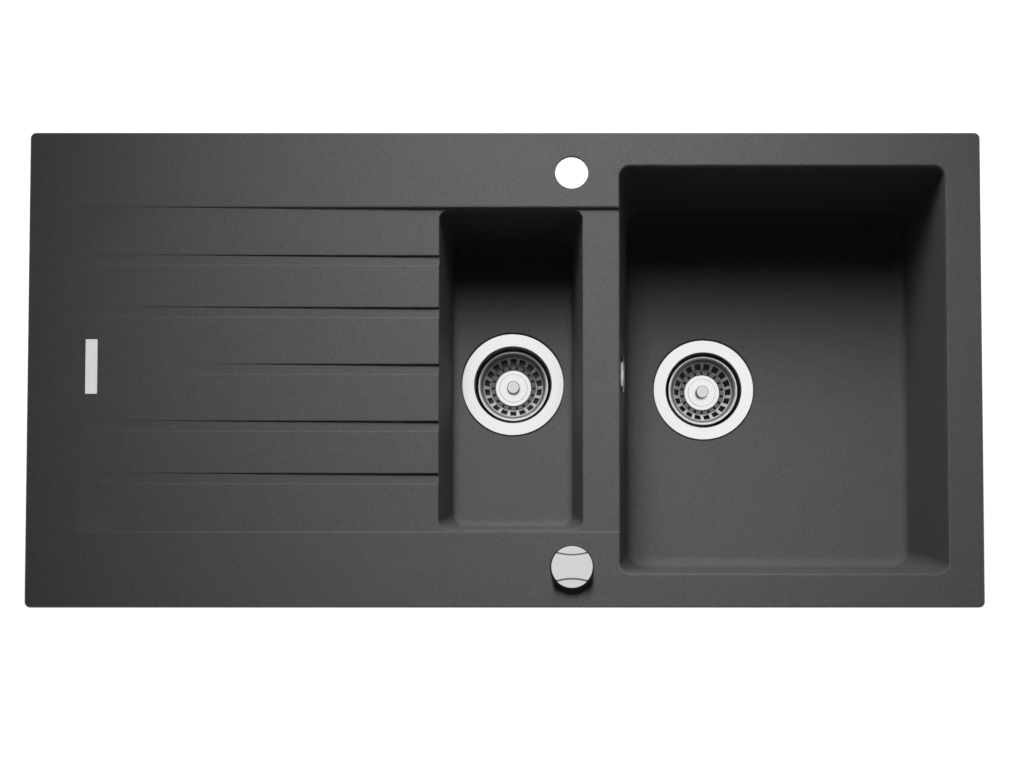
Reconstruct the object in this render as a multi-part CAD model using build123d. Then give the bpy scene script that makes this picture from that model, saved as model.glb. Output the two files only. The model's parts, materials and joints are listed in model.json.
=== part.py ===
from build123d import *
import os
from math import asin, atan2, cos, degrees, radians, sin, sqrt, tan

# One-and-a-half-bowl inset kitchen sink of moulded stone composite, drainer on the left.
# Millimetres. X runs from the drainer to the main bowl, Y from the front edge to the back edge,
# Z is up and zero on the worktop that carries the rim.

# Fits
RUNNING_FIT = 0.06
SLIP_FIT = 0.1
FREE_GAP = 0.3

# Outline, rim and deck
SINK_LENGTH = 1000.0
SINK_WIDTH = 500.0
OUTLINE_CORNER_RADIUS = 6.0
RIM_HEIGHT = 8.0
TOP_EDGE_RADIUS = 2.0
RIM_LAND = 12.0
LOCATING_STEP = 2.0
RIM_SEAL_WIDTH = 5.0
RIM_SEAL_DEPTH = 2.0

# Bowls
BOWL_WALL = 9.0
BOWL_FLOOR = 10.0
WALL_DRAFT = 4.0
RIGHT_RIM = 34.5
LONG_RIM = 33.0
DIVIDER_WIDTH = 34.5
MAIN_LENGTH = 348.0
MAIN_DEPTH = 200.0
MAIN_CORNER_RADIUS = 14.0
MAIN_FLOOR_CORNER_RADIUS = 20.0
MAIN_FLOOR_FILLET = 13.0
MAIN_EDGE_RADIUS = 2.5
SMALL_LENGTH = 154.0
SMALL_DEPTH = 142.0
SMALL_END_MARGIN = 0.5
SMALL_CORNER_RADIUS = 11.0
SMALL_FLOOR_CORNER_RADIUS = 15.0
SMALL_FLOOR_FILLET = 10.0
SMALL_EDGE_RADIUS = 1.5
MOUTH_MARGIN = 0.25
SHELL_REACH = 7.5

# Drainer: a recess that deepens towards the half bowl, with five grooves in its floor
LEDGE_WIDTH = 77.2
RECESS_DEPTH = 5.0
RECESS_EDGE_RADIUS = 2.6
DRAINER_RIM = 50.0
DRAINER_LAND = 8.0
DRAINER_THICKNESS = 10.0
GROOVE_WIDTH = 13.3
GROOVE_DEPTH = 3.5
GROOVE_EDGE_RADIUS = 1.8
GROOVE_SETBACK = 5.0
MIDDLE_GROOVE_SETBACK = 100.0
INNER_GROOVE_OFFSET = 60.0
OUTER_GROOVE_OFFSET = 115.0

# Badge plate, let into the drainer's left end
BADGE_LENGTH = 12.6
BADGE_WIDTH = 57.5
BADGE_THICKNESS = 1.0
BADGE_PROUD = 0.2
BADGE_FROM_LEFT = 67.0
BADGE_SHIFT = 2.3
BADGE_CORNER_RADIUS = 0.8

# Holes in the ledges behind and in front of the half bowl
LEDGE_HOLE_RADIUS = 17.5
LEDGE_HOLE_SETBACK = 35.2
LEDGE_HOLE_FROM_DIVIDER = 13.0
LEDGE_HOLE_CHAMFER = 0.6

# Basket wastes, both alike; depths are measured down from the bowl floor
MAIN_DRAIN_OFFSET = 103.5
FLANGE_RADIUS = 56.5
FLANGE_THROAT_RADIUS = 42.2
FLANGE_THICKNESS = 1.2
FLANGE_LIP_RADIUS = 1.6
FLANGE_EDGE_RADIUS = 0.5
FLANGE_SEAT_DEPTH = 2.5
FLANGE_SEAT_GAP = 1.5
FLANGE_SEAL_WIDTH = 9.0
DRAIN_HOLE_GAP = 1.8
CUP_DEPTH = 46.0
CUP_FLOOR_RADIUS = 40.0
CUP_FLOOR_FILLET = 4.0
CUP_WALL = 1.0
CUP_SLOT_INNER_RADIUS = 9.0
CUP_SLOT_OUTER_RADIUS = 17.0
CUP_SPOKE_WIDTH = 4.0
CUP_SPOKE_COUNT = 6
BODY_SEAL_THICKNESS = 2.5
BODY_SEAL_WIDTH = 9.0
BODY_WALL = 3.0
BODY_ROOM = 1.3
BODY_FLANGE_RADIUS = 56.0
BODY_FLANGE_THICKNESS = 4.0
BODY_RIB_COUNT = 12
BODY_RIB_WIDTH = 2.5
BODY_RIB_HEIGHT = 14.0
BODY_LEVER_ROOM = 11.0
BODY_FILLET = 5.0
BODY_EDGE_RADIUS = 1.0
OUTLET_RADIUS = 23.9
OUTLET_WALL = 3.5
OUTLET_LENGTH = 22.0
OUTLET_CONE_HEIGHT = 12.0
HUB_RADIUS = 8.0
HUB_HEIGHT = 14.0
HUB_GAP = 3.0
HUB_ARM_COUNT = 3
HUB_ARM_WIDTH = 4.0
HUB_ARM_HEIGHT = 10.0
CLAMP_SCREW_RADIUS = 4.0
CLAMP_HEAD_RADIUS = 7.0
CLAMP_HEAD_HEIGHT = 1.5
CLAMP_SCREW_PROUD = 1.0

# Strainer baskets
BASKET_RIM_RADIUS = 39.25
BASKET_RIM_TUBE = 1.1
BASKET_RIM_DEPTH = 17.5
BASKET_SHOULDER_RADIUS = 34.4
BASKET_SHOULDER_DEPTH = 25.0
BASKET_FLOOR_RADIUS = 27.6
BASKET_WALL = 0.8
BASKET_CORNER_RADIUS = 2.0
BASKET_TURN = 10.0
WINDOW_COUNT = 18
WINDOW_WIDTH = 6.0
WINDOW_LENGTH = 11.5
WINDOW_CUT = 6.4
SQUARE_HOLE = 3.5
SQUARE_HOLE_PITCH_RADIUS = 24.0
BASKET_SEAL_HEIGHT = 6.0
BASKET_SEAL_RADIUS = 21.5
BASKET_SEAL_LIP = 3.5
BASKET_SEAL_PLATE = 2.0
DISC_RADIUS = 20.3
DISC_THICKNESS = 1.6
DISC_STEP_RADIUS = 15.8
DISC_STEP_HEIGHT = 0.9
DISC_EDGE_RADIUS = 0.7
POST_RADIUS = 7.0
POST_WAIST_RADIUS = 5.6
POST_HEIGHT = 11.0
POST_WAIST_SHARE = 0.45
POST_EDGE_RADIUS = 0.8
STEM_RADIUS = 3.0
STEM_HEAD_RADIUS = 6.0
STEM_CLEARANCE = 1.0
STEM_THREAD = 6.0

# Pop-up lift of the main basket
LIFT_TRAVEL = 8.0
PIN_RADIUS = 2.0
PIN_PROUD = 2.9
PIN_END_RADIUS = 1.5
PIN_LEVER_GAP = 0.4
PIN_TOP_GAP = 0.2
LEVER_LENGTH = 24.0
LEVER_WIDTH = 9.0
LEVER_TIP_RADIUS = 2.5
LEVER_HUB_RADIUS = 6.0
SHAFT_RADIUS = 3.0
SHAFT_BOSS_RADIUS = 8.0
SHAFT_BOSS_PROUD = 4.0
SHAFT_BOSS_INSIDE = 4.0
SHAFT_END = 1.0
SHAFT_SEAL_RADIUS = 5.0
SHAFT_SEAL_LENGTH = 3.0
CRANK_LENGTH = 22.0
CRANK_THICKNESS = 6.0
CRANK_TIP_RADIUS = 3.5
CRANK_HUB_RADIUS = 5.5
HOUSING_HALF_LENGTH = 16.0
HOUSING_DEPTH = 20.0
HOUSING_WALL = 2.5
HOUSING_MARGIN = 9.0
HOUSING_CORNER_RADIUS = 5.0
COVER_SCREW_RADIUS = 1.5
COVER_SCREW_HEAD_RADIUS = 2.6
COVER_SCREW_HEAD_HEIGHT = 1.4
COVER_SCREW_LENGTH = 8.0
COVER_SCREW_BOSS_RADIUS = 3.2

# Overflow
OVERFLOW_DROP = 55.0
ROSETTE_RADIUS = 19.5
ROSETTE_THICKNESS = 2.6
ROSETTE_EDGE_RADIUS = 1.2
ROSETTE_MOUTH_RADIUS = 9.5
ROSETTE_TUBE_WALL = 1.8
OVERFLOW_HOLE_GAP = 0.9
OVERFLOW_SEAL_THICKNESS = 2.0
ELBOW_FLANGE_RADIUS = 20.0
ELBOW_FLANGE_THICKNESS = 3.0
ELBOW_WALL = 2.5
ELBOW_ROOM = 4.0
NUT_ROOM = 1.0
NUT_WALL = 1.7
NUT_HEIGHT = 14.0
NUT_LIP = 3.0
NUT_GRIP_COUNT = 16
NUT_GRIP_RADIUS = 1.6
NUT_GRIP_DEPTH = 0.7
SPIGOT_WALL = 1.8
SPIGOT_LENGTH = 24.0
PIPE_WALL = 1.5
PIPE_INSERT = 12.0
PIPE_BEND_RADIUS = 34.0
OVERFLOW_INLET_DEPTH = 60.0

# Turning control of the pop-up waste; heights are measured from the deck's top
CONTROL_SEAL_RADIUS = 23.0
CONTROL_SEAL_THICKNESS = 1.2
BUSH_GAP = 0.7
BUSH_FLANGE_RADIUS = 20.5
BUSH_FLANGE_THICKNESS = 2.0
BUSH_LENGTH = 34.0
CONTROL_NUT_RADIUS = 23.0
CONTROL_NUT_HEIGHT = 8.0
CONTROL_WASHER_THICKNESS = 2.0
SPINDLE_RADIUS = 5.0
SPINDLE_SOCKET_DEPTH = 6.5
KNOB_RADIUS = 21.65
KNOB_HEIGHT = 14.5
KNOB_EDGE_RADIUS = 0.8
KNOB_POCKET_GAP = 0.4
GRIP_WAIST = 23.0
GRIP_END = 28.0
GRIP_WALL_SLOPE = 16.0
SCOOP_DEPTH = 5.5
SCOOP_FILLET = 2.0
GRUB_RADIUS = 2.0
GRUB_LENGTH = 9.0
GRUB_HEIGHT = 4.0
CAM_RADIUS = 11.0
CAM_THICKNESS = 6.0
CAM_GROOVE_RADIUS = 1.4
CAM_HOUSING_HALF = 20.0
CAM_HOUSING_HEIGHT = 16.0
CAM_HOUSING_WALL = 2.0
CAM_HOUSING_CORNER_RADIUS = 6.0

# Control cable from the cam housing to the lever housing; each point of its route has a bow to
# the left of the straight line down, then the shares of the way across and of the way down
CABLE_RADIUS = 2.5
FERRULE_RADIUS = 3.5
FERRULE_BORE_RADIUS = 1.0
FERRULE_LENGTH = 12.0
CABLE_FIRST_RUN = 31.0
CABLE_LAST_RUN = 26.0
CABLE_ROUTE = [
    (-73.2, 0.0128, 0.0628),
    (-109.7, 0.0384, 0.1884),
    (-132.3, 0.0768, 0.3375),
    (-139.0, 0.128, 0.4867),
    (-132.9, 0.2112, 0.6319),
    (-116.0, 0.3392, 0.7614),
    (-88.3, 0.5056, 0.8634),
    (-59.6, 0.7104, 0.938),
    (-42.3, 0.8768, 0.9812),
]
CABLE_BEND_SHARE = 0.45

# Fixing claws under the rim
CLAW_INSET = 7.0
CLAW_BOSS_RADIUS = 6.0
CLAW_BOSS_HEIGHT = 12.0
PLUG_RADIUS = 4.0
PLUG_LENGTH = 10.0
CLAW_SCREW_RADIUS = 2.5
CLAW_HEAD_RADIUS = 4.6
CLAW_HEAD_HEIGHT = 3.5
WORKTOP_THICKNESS = 38.0
CLAW_RISE = 8.0
CLAW_THICKNESS = 2.5
CLAW_WIDTH = 13.0
CLAW_REACH = 26.0
CLAW_BEND_RADIUS = 4.0
CLAW_FROM_LEFT = 110.0
CLAW_FROM_SMALL_BOWL = 50.0

# Levels and places of the sink body
HALF_LENGTH = SINK_LENGTH / 2
HALF_WIDTH = SINK_WIDTH / 2
DECK_Z = RIM_HEIGHT
DECK_UNDERSIDE_Z = -LOCATING_STEP
RECESS_Z = DECK_Z - RECESS_DEPTH
RECESS_HALF = HALF_WIDTH - LEDGE_WIDTH
TRAY_Z = RECESS_Z - DRAINER_THICKNESS
DRAFT_SLOPE = tan(radians(WALL_DRAFT))
EDGE_SETBACK_RATIO = tan(radians((90 - WALL_DRAFT) / 2))
MAIN_SETBACK = MAIN_EDGE_RADIUS * EDGE_SETBACK_RATIO
SMALL_SETBACK = SMALL_EDGE_RADIUS * EDGE_SETBACK_RATIO
MAIN_RIGHT = HALF_LENGTH - RIGHT_RIM
MAIN_LEFT = MAIN_RIGHT - MAIN_LENGTH
MAIN_CENTRE_X = (MAIN_LEFT + MAIN_RIGHT) / 2
MAIN_WIDTH = SINK_WIDTH - 2 * LONG_RIM
MAIN_FLOOR_Z = DECK_Z - MAIN_DEPTH
SMALL_RIGHT = MAIN_LEFT - DIVIDER_WIDTH
SMALL_LEFT = SMALL_RIGHT - SMALL_LENGTH
SMALL_CENTRE_X = (SMALL_LEFT + SMALL_RIGHT) / 2
SMALL_WIDTH = 2 * (RECESS_HALF - RECESS_EDGE_RADIUS - SMALL_END_MARGIN)
SMALL_FLOOR_Z = RECESS_Z - SMALL_DEPTH
DRAINER_START = -HALF_LENGTH + DRAINER_RIM
DRAINER_LEVEL_X = SMALL_LEFT - DRAINER_LAND
DRAINER_RUN = DRAINER_LEVEL_X - DRAINER_START
DRAINER_SLOPE = RECESS_DEPTH / DRAINER_RUN
LEDGE_HOLE_X = SMALL_RIGHT - LEDGE_HOLE_FROM_DIVIDER
LEDGE_HOLE_Y = RECESS_HALF + LEDGE_HOLE_SETBACK
CLAW_BOSS_END_Z = DECK_UNDERSIDE_Z - CLAW_BOSS_HEIGHT
BADGE_TOP_Z = DECK_Z - DRAINER_SLOPE * (BADGE_FROM_LEFT - DRAINER_RIM) + BADGE_PROUD

# Levels of a waste, measured from the bowl floor
BODY_TOP_Z = -BOWL_FLOOR - BODY_SEAL_THICKNESS
DRAIN_HOLE_RADIUS = FLANGE_THROAT_RADIUS + CUP_WALL + DRAIN_HOLE_GAP
BODY_INNER_RADIUS = FLANGE_THROAT_RADIUS + CUP_WALL + BODY_ROOM
BODY_RADIUS = BODY_INNER_RADIUS + BODY_WALL
CUP_FLOOR_Z = -CUP_DEPTH
HUB_TOP_Z = CUP_FLOOR_Z - CUP_WALL - HUB_GAP
HUB_BOTTOM_Z = HUB_TOP_Z - HUB_HEIGHT
CLAMP_SCREW_END_Z = HUB_BOTTOM_Z - CLAMP_SCREW_PROUD
BASKET_FLOOR_Z = CUP_FLOOR_Z + BASKET_SEAL_HEIGHT
DISC_BASE_Z = BASKET_FLOOR_Z + BASKET_WALL
POST_BASE_Z = DISC_BASE_Z + DISC_THICKNESS + DISC_STEP_HEIGHT
STEM_END_Z = CUP_FLOOR_Z + CLAMP_HEAD_HEIGHT + STEM_CLEARANCE
PIN_TOP_Z = STEM_END_Z + LIFT_TRAVEL - PIN_TOP_GAP
PIN_END_Z = CLAMP_SCREW_END_Z - PIN_PROUD
LEVER_SWING = degrees(asin(LIFT_TRAVEL / 2 / LEVER_LENGTH))
SHAFT_X = LEVER_LENGTH * cos(radians(LEVER_SWING))
SHAFT_Z = PIN_END_Z - PIN_LEVER_GAP - LEVER_TIP_RADIUS - LIFT_TRAVEL / 2
BODY_FLOOR_Z = SHAFT_Z - BODY_LEVER_ROOM
OUTLET_TOP_Z = BODY_FLOOR_Z - OUTLET_CONE_HEIGHT
OUTLET_END_Z = OUTLET_TOP_Z - OUTLET_LENGTH
HOUSING_BACK_Y = -BODY_RADIUS - SHAFT_BOSS_PROUD
HOUSING_FRONT_Y = HOUSING_BACK_Y - HOUSING_DEPTH
CRANK_Y = (HOUSING_BACK_Y - HOUSING_WALL + HOUSING_FRONT_Y) / 2

# Places of the wastes, the overflow and the control
MAIN_WASTE_X = MAIN_LEFT + MAIN_DRAIN_OFFSET
MAIN_WASTE = Pos(MAIN_WASTE_X, 0, MAIN_FLOOR_Z)
SMALL_WASTE = Pos(SMALL_CENTRE_X, 0, SMALL_FLOOR_Z)
RAISED_BASKET = MAIN_WASTE * Pos(0, 0, LIFT_TRAVEL) * Rot(0, 0, BASKET_TURN)
LEVER_PLACE = MAIN_WASTE * Pos(SHAFT_X, 0, SHAFT_Z)
OVERFLOW_Z = DECK_Z - OVERFLOW_DROP
OVERFLOW_WALL_X = MAIN_LEFT + MAIN_SETBACK + OVERFLOW_DROP * DRAFT_SLOPE
OVERFLOW_NORMAL = (cos(radians(WALL_DRAFT)), 0, sin(radians(WALL_DRAFT)))
OVERFLOW_WALL = Plane((OVERFLOW_WALL_X, 0, OVERFLOW_Z), x_dir=(0, 1, 0), z_dir=OVERFLOW_NORMAL)
WALL_NORMAL_THICKNESS = BOWL_WALL * cos(radians(WALL_DRAFT))
SHELL_GAP_RIGHT = OVERFLOW_WALL_X - BOWL_WALL
SHELL_GAP_LEFT = SMALL_RIGHT - SMALL_SETBACK - (RECESS_Z - OVERFLOW_Z) * DRAFT_SLOPE + BOWL_WALL
PIPE_X = (SHELL_GAP_LEFT + SHELL_GAP_RIGHT) / 2
NUT_RADIUS = (SHELL_GAP_RIGHT - SHELL_GAP_LEFT) / 2 - NUT_ROOM
SPIGOT_RADIUS = NUT_RADIUS - NUT_WALL - NUT_GRIP_DEPTH - SLIP_FIT
SPIGOT_BORE_RADIUS = SPIGOT_RADIUS - SPIGOT_WALL
PIPE_RADIUS = SPIGOT_BORE_RADIUS - SLIP_FIT
ROSETTE_TUBE_RADIUS = ROSETTE_MOUTH_RADIUS + ROSETTE_TUBE_WALL
ROSETTE_TUBE_LENGTH = WALL_NORMAL_THICKNESS + OVERFLOW_SEAL_THICKNESS + ELBOW_FLANGE_THICKNESS
ELBOW_RADIUS = ROSETTE_TUBE_RADIUS + SLIP_FIT + ELBOW_WALL
ELBOW_SPIGOT_END_Z = OVERFLOW_Z - ELBOW_RADIUS - SPIGOT_LENGTH
INLET_Z = MAIN_FLOOR_Z - OVERFLOW_INLET_DEPTH
INLET_END_X = MAIN_WASTE_X - BODY_RADIUS - SPIGOT_LENGTH
CONTROL = Pos(LEDGE_HOLE_X, -LEDGE_HOLE_Y, DECK_Z)
DECK_THICKNESS = RIM_HEIGHT + LOCATING_STEP
BUSH_RADIUS = LEDGE_HOLE_RADIUS - BUSH_GAP
KNOB_BASE_Z = CONTROL_SEAL_THICKNESS + FREE_GAP
KNOB_TOP_Z = KNOB_BASE_Z + KNOB_HEIGHT
KNOB_POCKET_Z = CONTROL_SEAL_THICKNESS + BUSH_FLANGE_THICKNESS + FREE_GAP
CAM_Z = -BUSH_LENGTH - CAM_HOUSING_HEIGHT / 2


def block(x_limits, y_limits, z_limits):
    """Box between the given limits."""
    size = [limits[1] - limits[0] for limits in (x_limits, y_limits, z_limits)]
    middle = [sum(limits) / 2 for limits in (x_limits, y_limits, z_limits)]
    return Pos(*middle) * Box(*size)


def post(radius, bottom, top):
    """Upright cylinder on the Z axis."""
    return Pos(0, 0, (bottom + top) / 2) * Cylinder(radius, top - bottom)


def ring(outer, inner, bottom, top):
    """Upright ring on the Z axis."""
    return post(outer, bottom, top) - post(inner, bottom, top)


def bar_x(radius, start, end):
    """Round bar on the X axis."""
    return Pos((start + end) / 2, 0, 0) * Rot(0, 90, 0) * Cylinder(radius, abs(end - start))


def bar_y(radius, start, end):
    """Round bar on the Y axis."""
    return Pos(0, (start + end) / 2, 0) * Rot(90, 0, 0) * Cylinder(radius, abs(end - start))


def flat_face(points):
    return make_face(Polyline(*points, close=True))


def rounded_face(points, rounding):
    """Flat face through the points; rounding gives the radius at some of them by index."""
    face = flat_face(points)
    for index, radius in rounding.items():
        corner = face.vertices().sort_by_distance((*points[index], 0))[0]
        face = fillet(corner, radius)
    return face


def turned(points, rounding=None):
    """Solid of revolution about Z through (radius, height) points."""
    return revolve(Plane.XZ * rounded_face(points, rounding or {}), Axis.Z)


def around(count, start=0.0):
    """Turns about Z, evenly spaced."""
    return [Rot(0, 0, start + index * 360 / count) for index in range(count)]


# Sink body


def drafted_block(centre_x, length, width, top_radius, floor_radius, top, floor):
    """Block whose four walls lean inwards by the draft, with rounded upright corners."""
    inset = (top - floor) * DRAFT_SLOPE
    upper = Pos(centre_x, 0, top) * RectangleRounded(length, width, top_radius)
    lower_outline = RectangleRounded(length - 2 * inset, width - 2 * inset, floor_radius)
    lower = Pos(centre_x, 0, floor) * lower_outline
    return loft([lower.face(), upper.face()], ruled=True)


def rounded_floor(solid, radius):
    return fillet(solid.edges().group_by(Axis.Z)[0], radius)


def bowl_tools(centre_x, length, width, corner, edge, setback, floor_corner, floor_fillet, top, floor):
    """Outer shell of a bowl, and its hollow with a flared, rounded edge at the top."""
    hollow_length = length - 2 * setback
    hollow_width = width - 2 * setback
    hollow_corner = corner - setback
    hollow = drafted_block(
        centre_x, hollow_length, hollow_width, hollow_corner, floor_corner, top, floor
    )
    hollow = rounded_floor(hollow, floor_fillet)
    plate_length = length + 2 * MOUTH_MARGIN
    plate_width = width + 2 * MOUTH_MARGIN
    above = Pos(centre_x, 0, top + edge) * Box(plate_length, plate_width, 2 * edge)
    hollow = hollow + above
    around_mouth = [face for face in hollow.faces() if face.inner_wires()][0]
    hollow = fillet(around_mouth.inner_wires()[0].edges(), edge)
    shell = drafted_block(
        centre_x,
        hollow_length + 2 * BOWL_WALL,
        hollow_width + 2 * BOWL_WALL,
        hollow_corner + BOWL_WALL,
        floor_corner + BOWL_WALL,
        top,
        floor - BOWL_FLOOR,
    )
    shell = rounded_floor(shell, floor_fillet + BOWL_FLOOR / 2)
    below_deck = block(
        (centre_x - length, centre_x + length), (-width, width), (floor - 2 * BOWL_FLOOR, 0)
    )
    return shell & below_deck, hollow


def edge_rounding(wall_x, top, radius, half_width):
    """Tool that rounds a straight edge along Y, with the bowl on its right."""
    reach = 2 * radius
    points = [
        (wall_x - reach, top),
        (wall_x, top),
        (wall_x + reach * DRAFT_SLOPE, top - reach),
        (wall_x - reach, top - reach),
    ]
    waste = flat_face(points) - rounded_face(points, {1: radius})
    return extrude(Plane.XZ * waste, half_width, both=True)


def trench_outline(half_width, edge_radius, depth):
    """Section of a trench, in Y and Z, with rounded top edges on z = 0 and open above."""
    foot = half_width - edge_radius
    bottom = -edge_radius - depth
    outline = [
        Line((half_width, 0), (half_width, edge_radius)),
        Line((half_width, edge_radius), (-half_width, edge_radius)),
        Line((-half_width, edge_radius), (-half_width, 0)),
        CenterArc((-half_width, -edge_radius), edge_radius, 0, 90),
        Line((-foot, -edge_radius), (-foot, bottom)),
        Line((-foot, bottom), (foot, bottom)),
        Line((foot, bottom), (foot, -edge_radius)),
        CenterArc((half_width, -edge_radius), edge_radius, 90, 90),
    ]
    return Plane.YZ * make_face(outline)


def above_floor(points, half_width):
    """Everything above a floor line through (x, z) points, within the half width."""
    ceiling = DECK_Z + RIM_HEIGHT
    outline = points + [(points[-1][0], ceiling), (points[0][0], ceiling)]
    return extrude(Plane.XZ * flat_face(outline), half_width, both=True)


def recess_tool():
    """Drainer recess: it deepens towards the half bowl and runs level on to the main bowl."""
    end = MAIN_LEFT + 2 * MAIN_EDGE_RADIUS
    section = trench_outline(RECESS_HALF, RECESS_EDGE_RADIUS, RECESS_DEPTH)
    trench = Pos(DRAINER_START, 0, DECK_Z) * extrude(section, end - DRAINER_START)
    floor = [(DRAINER_START, DECK_Z), (DRAINER_LEVEL_X, RECESS_Z), (end, RECESS_Z)]
    return trench & above_floor(floor, RECESS_HALF)


def groove_layout():
    """Distance from the middle and setback from the drainer's start, groove by groove."""
    layout = [(0.0, MIDDLE_GROOVE_SETBACK)]
    for offset in (INNER_GROOVE_OFFSET, OUTER_GROOVE_OFFSET):
        layout += [(offset, GROOVE_SETBACK), (-offset, GROOVE_SETBACK)]
    return layout


def groove_tool(offset, setback):
    """Groove that deepens from nothing to the half bowl, following the recess floor."""
    start = DRAINER_START + setback
    start_z = DECK_Z - DRAINER_SLOPE * setback
    end = SMALL_LEFT + SMALL_SETBACK + SMALL_EDGE_RADIUS
    section = trench_outline(GROOVE_WIDTH / 2, GROOVE_EDGE_RADIUS, GROOVE_DEPTH)
    falling = Vector(DRAINER_LEVEL_X - start, 0, RECESS_Z - start_z)
    sloping = Pos(start, 0, start_z) * extrude(section, falling.length, dir=falling)
    level = Pos(DRAINER_LEVEL_X, 0, RECESS_Z) * extrude(section, end - DRAINER_LEVEL_X)
    groove_z = RECESS_Z - GROOVE_DEPTH
    floor = [(start, start_z), (DRAINER_LEVEL_X, groove_z), (end, groove_z)]
    return Pos(0, offset, 0) * ((sloping + level) & above_floor(floor, GROOVE_WIDTH))


def drainer_tray():
    """Body of the drainer below the deck, parallel to the recess floor."""
    right = MAIN_LEFT + MAIN_EDGE_RADIUS
    points = [
        (DRAINER_START, DECK_Z - DRAINER_THICKNESS),
        (DRAINER_LEVEL_X, TRAY_Z),
        (right, TRAY_Z),
        (right, 0),
        (DRAINER_START, 0),
    ]
    return extrude(Plane.XZ * flat_face(points), RECESS_HALF + BOWL_WALL, both=True)


def rim_ring(width, depth):
    """Ring of the given width in the middle of the rim's land, upwards from the worktop."""
    outer = RIM_LAND - width
    inner = RIM_LAND + width
    outline = RectangleRounded(SINK_LENGTH - outer, SINK_WIDTH - outer, OUTLINE_CORNER_RADIUS)
    hole = RectangleRounded(SINK_LENGTH - inner, SINK_WIDTH - inner, OUTLINE_CORNER_RADIUS)
    return extrude(outline - hole, depth)


def badge_plate(gap=0.0):
    """Bare plate, its top just proud of the drainer; a gap makes the pocket for it."""
    length = BADGE_LENGTH + 2 * gap
    width = BADGE_WIDTH + 2 * gap
    outline = RectangleRounded(length, width, BADGE_CORNER_RADIUS + gap)
    place = Pos(-HALF_LENGTH + BADGE_FROM_LEFT, BADGE_SHIFT, BADGE_TOP_Z - BADGE_THICKNESS)
    return place * extrude(outline, BADGE_THICKNESS)


def waste_seat_tool():
    """Round seat and hole for a waste in a bowl floor."""
    seat = post(FLANGE_RADIUS + FLANGE_SEAT_GAP, -FLANGE_SEAT_DEPTH, FLANGE_SEAT_DEPTH)
    return seat + post(DRAIN_HOLE_RADIUS, -2 * BOWL_FLOOR, 0)


def ledge_hole():
    """Round hole through the deck with a fine chamfer at its top edge."""
    hole = post(LEDGE_HOLE_RADIUS, -2 * DECK_THICKNESS, DECK_THICKNESS)
    narrow = LEDGE_HOLE_RADIUS - LEDGE_HOLE_CHAMFER
    wide = LEDGE_HOLE_RADIUS + LEDGE_HOLE_CHAMFER
    return Pos(LEDGE_HOLE_X, 0, DECK_Z) * (hole + Cone(narrow, wide, 2 * LEDGE_HOLE_CHAMFER))


def claw_places():
    """Place and outward direction of each fixing claw, by name."""
    side = HALF_WIDTH - RIM_LAND - CLAW_INSET
    end = HALF_LENGTH - RIM_LAND - CLAW_INSET
    columns = {
        "left": -HALF_LENGTH + CLAW_FROM_LEFT,
        "middle": SMALL_LEFT - CLAW_FROM_SMALL_BOWL,
        "right": MAIN_CENTRE_X,
    }
    places = {}
    for name, x in columns.items():
        places["front_" + name + "_claw"] = (x, -side, -90)
        places["back_" + name + "_claw"] = (x, side, 90)
    places["left_end_claw"] = (-end, 0, 180)
    places["right_end_claw"] = (end, 0, 0)
    return places


def at_claws(piece):
    """The piece repeated at every claw."""
    return [Pos(x, y, 0) * piece for x, y, _ in claw_places().values()]


def shell_room(centre_x, length, width, floor):
    """Room that holds the part of a bowl below the drainer's tray."""
    half_length = length / 2 + SHELL_REACH
    half_width = width / 2 + SHELL_REACH
    limits_x = (centre_x - half_length, centre_x + half_length)
    return block(limits_x, (-half_width, half_width), (floor - 2 * BOWL_FLOOR, TRAY_Z))


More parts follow.
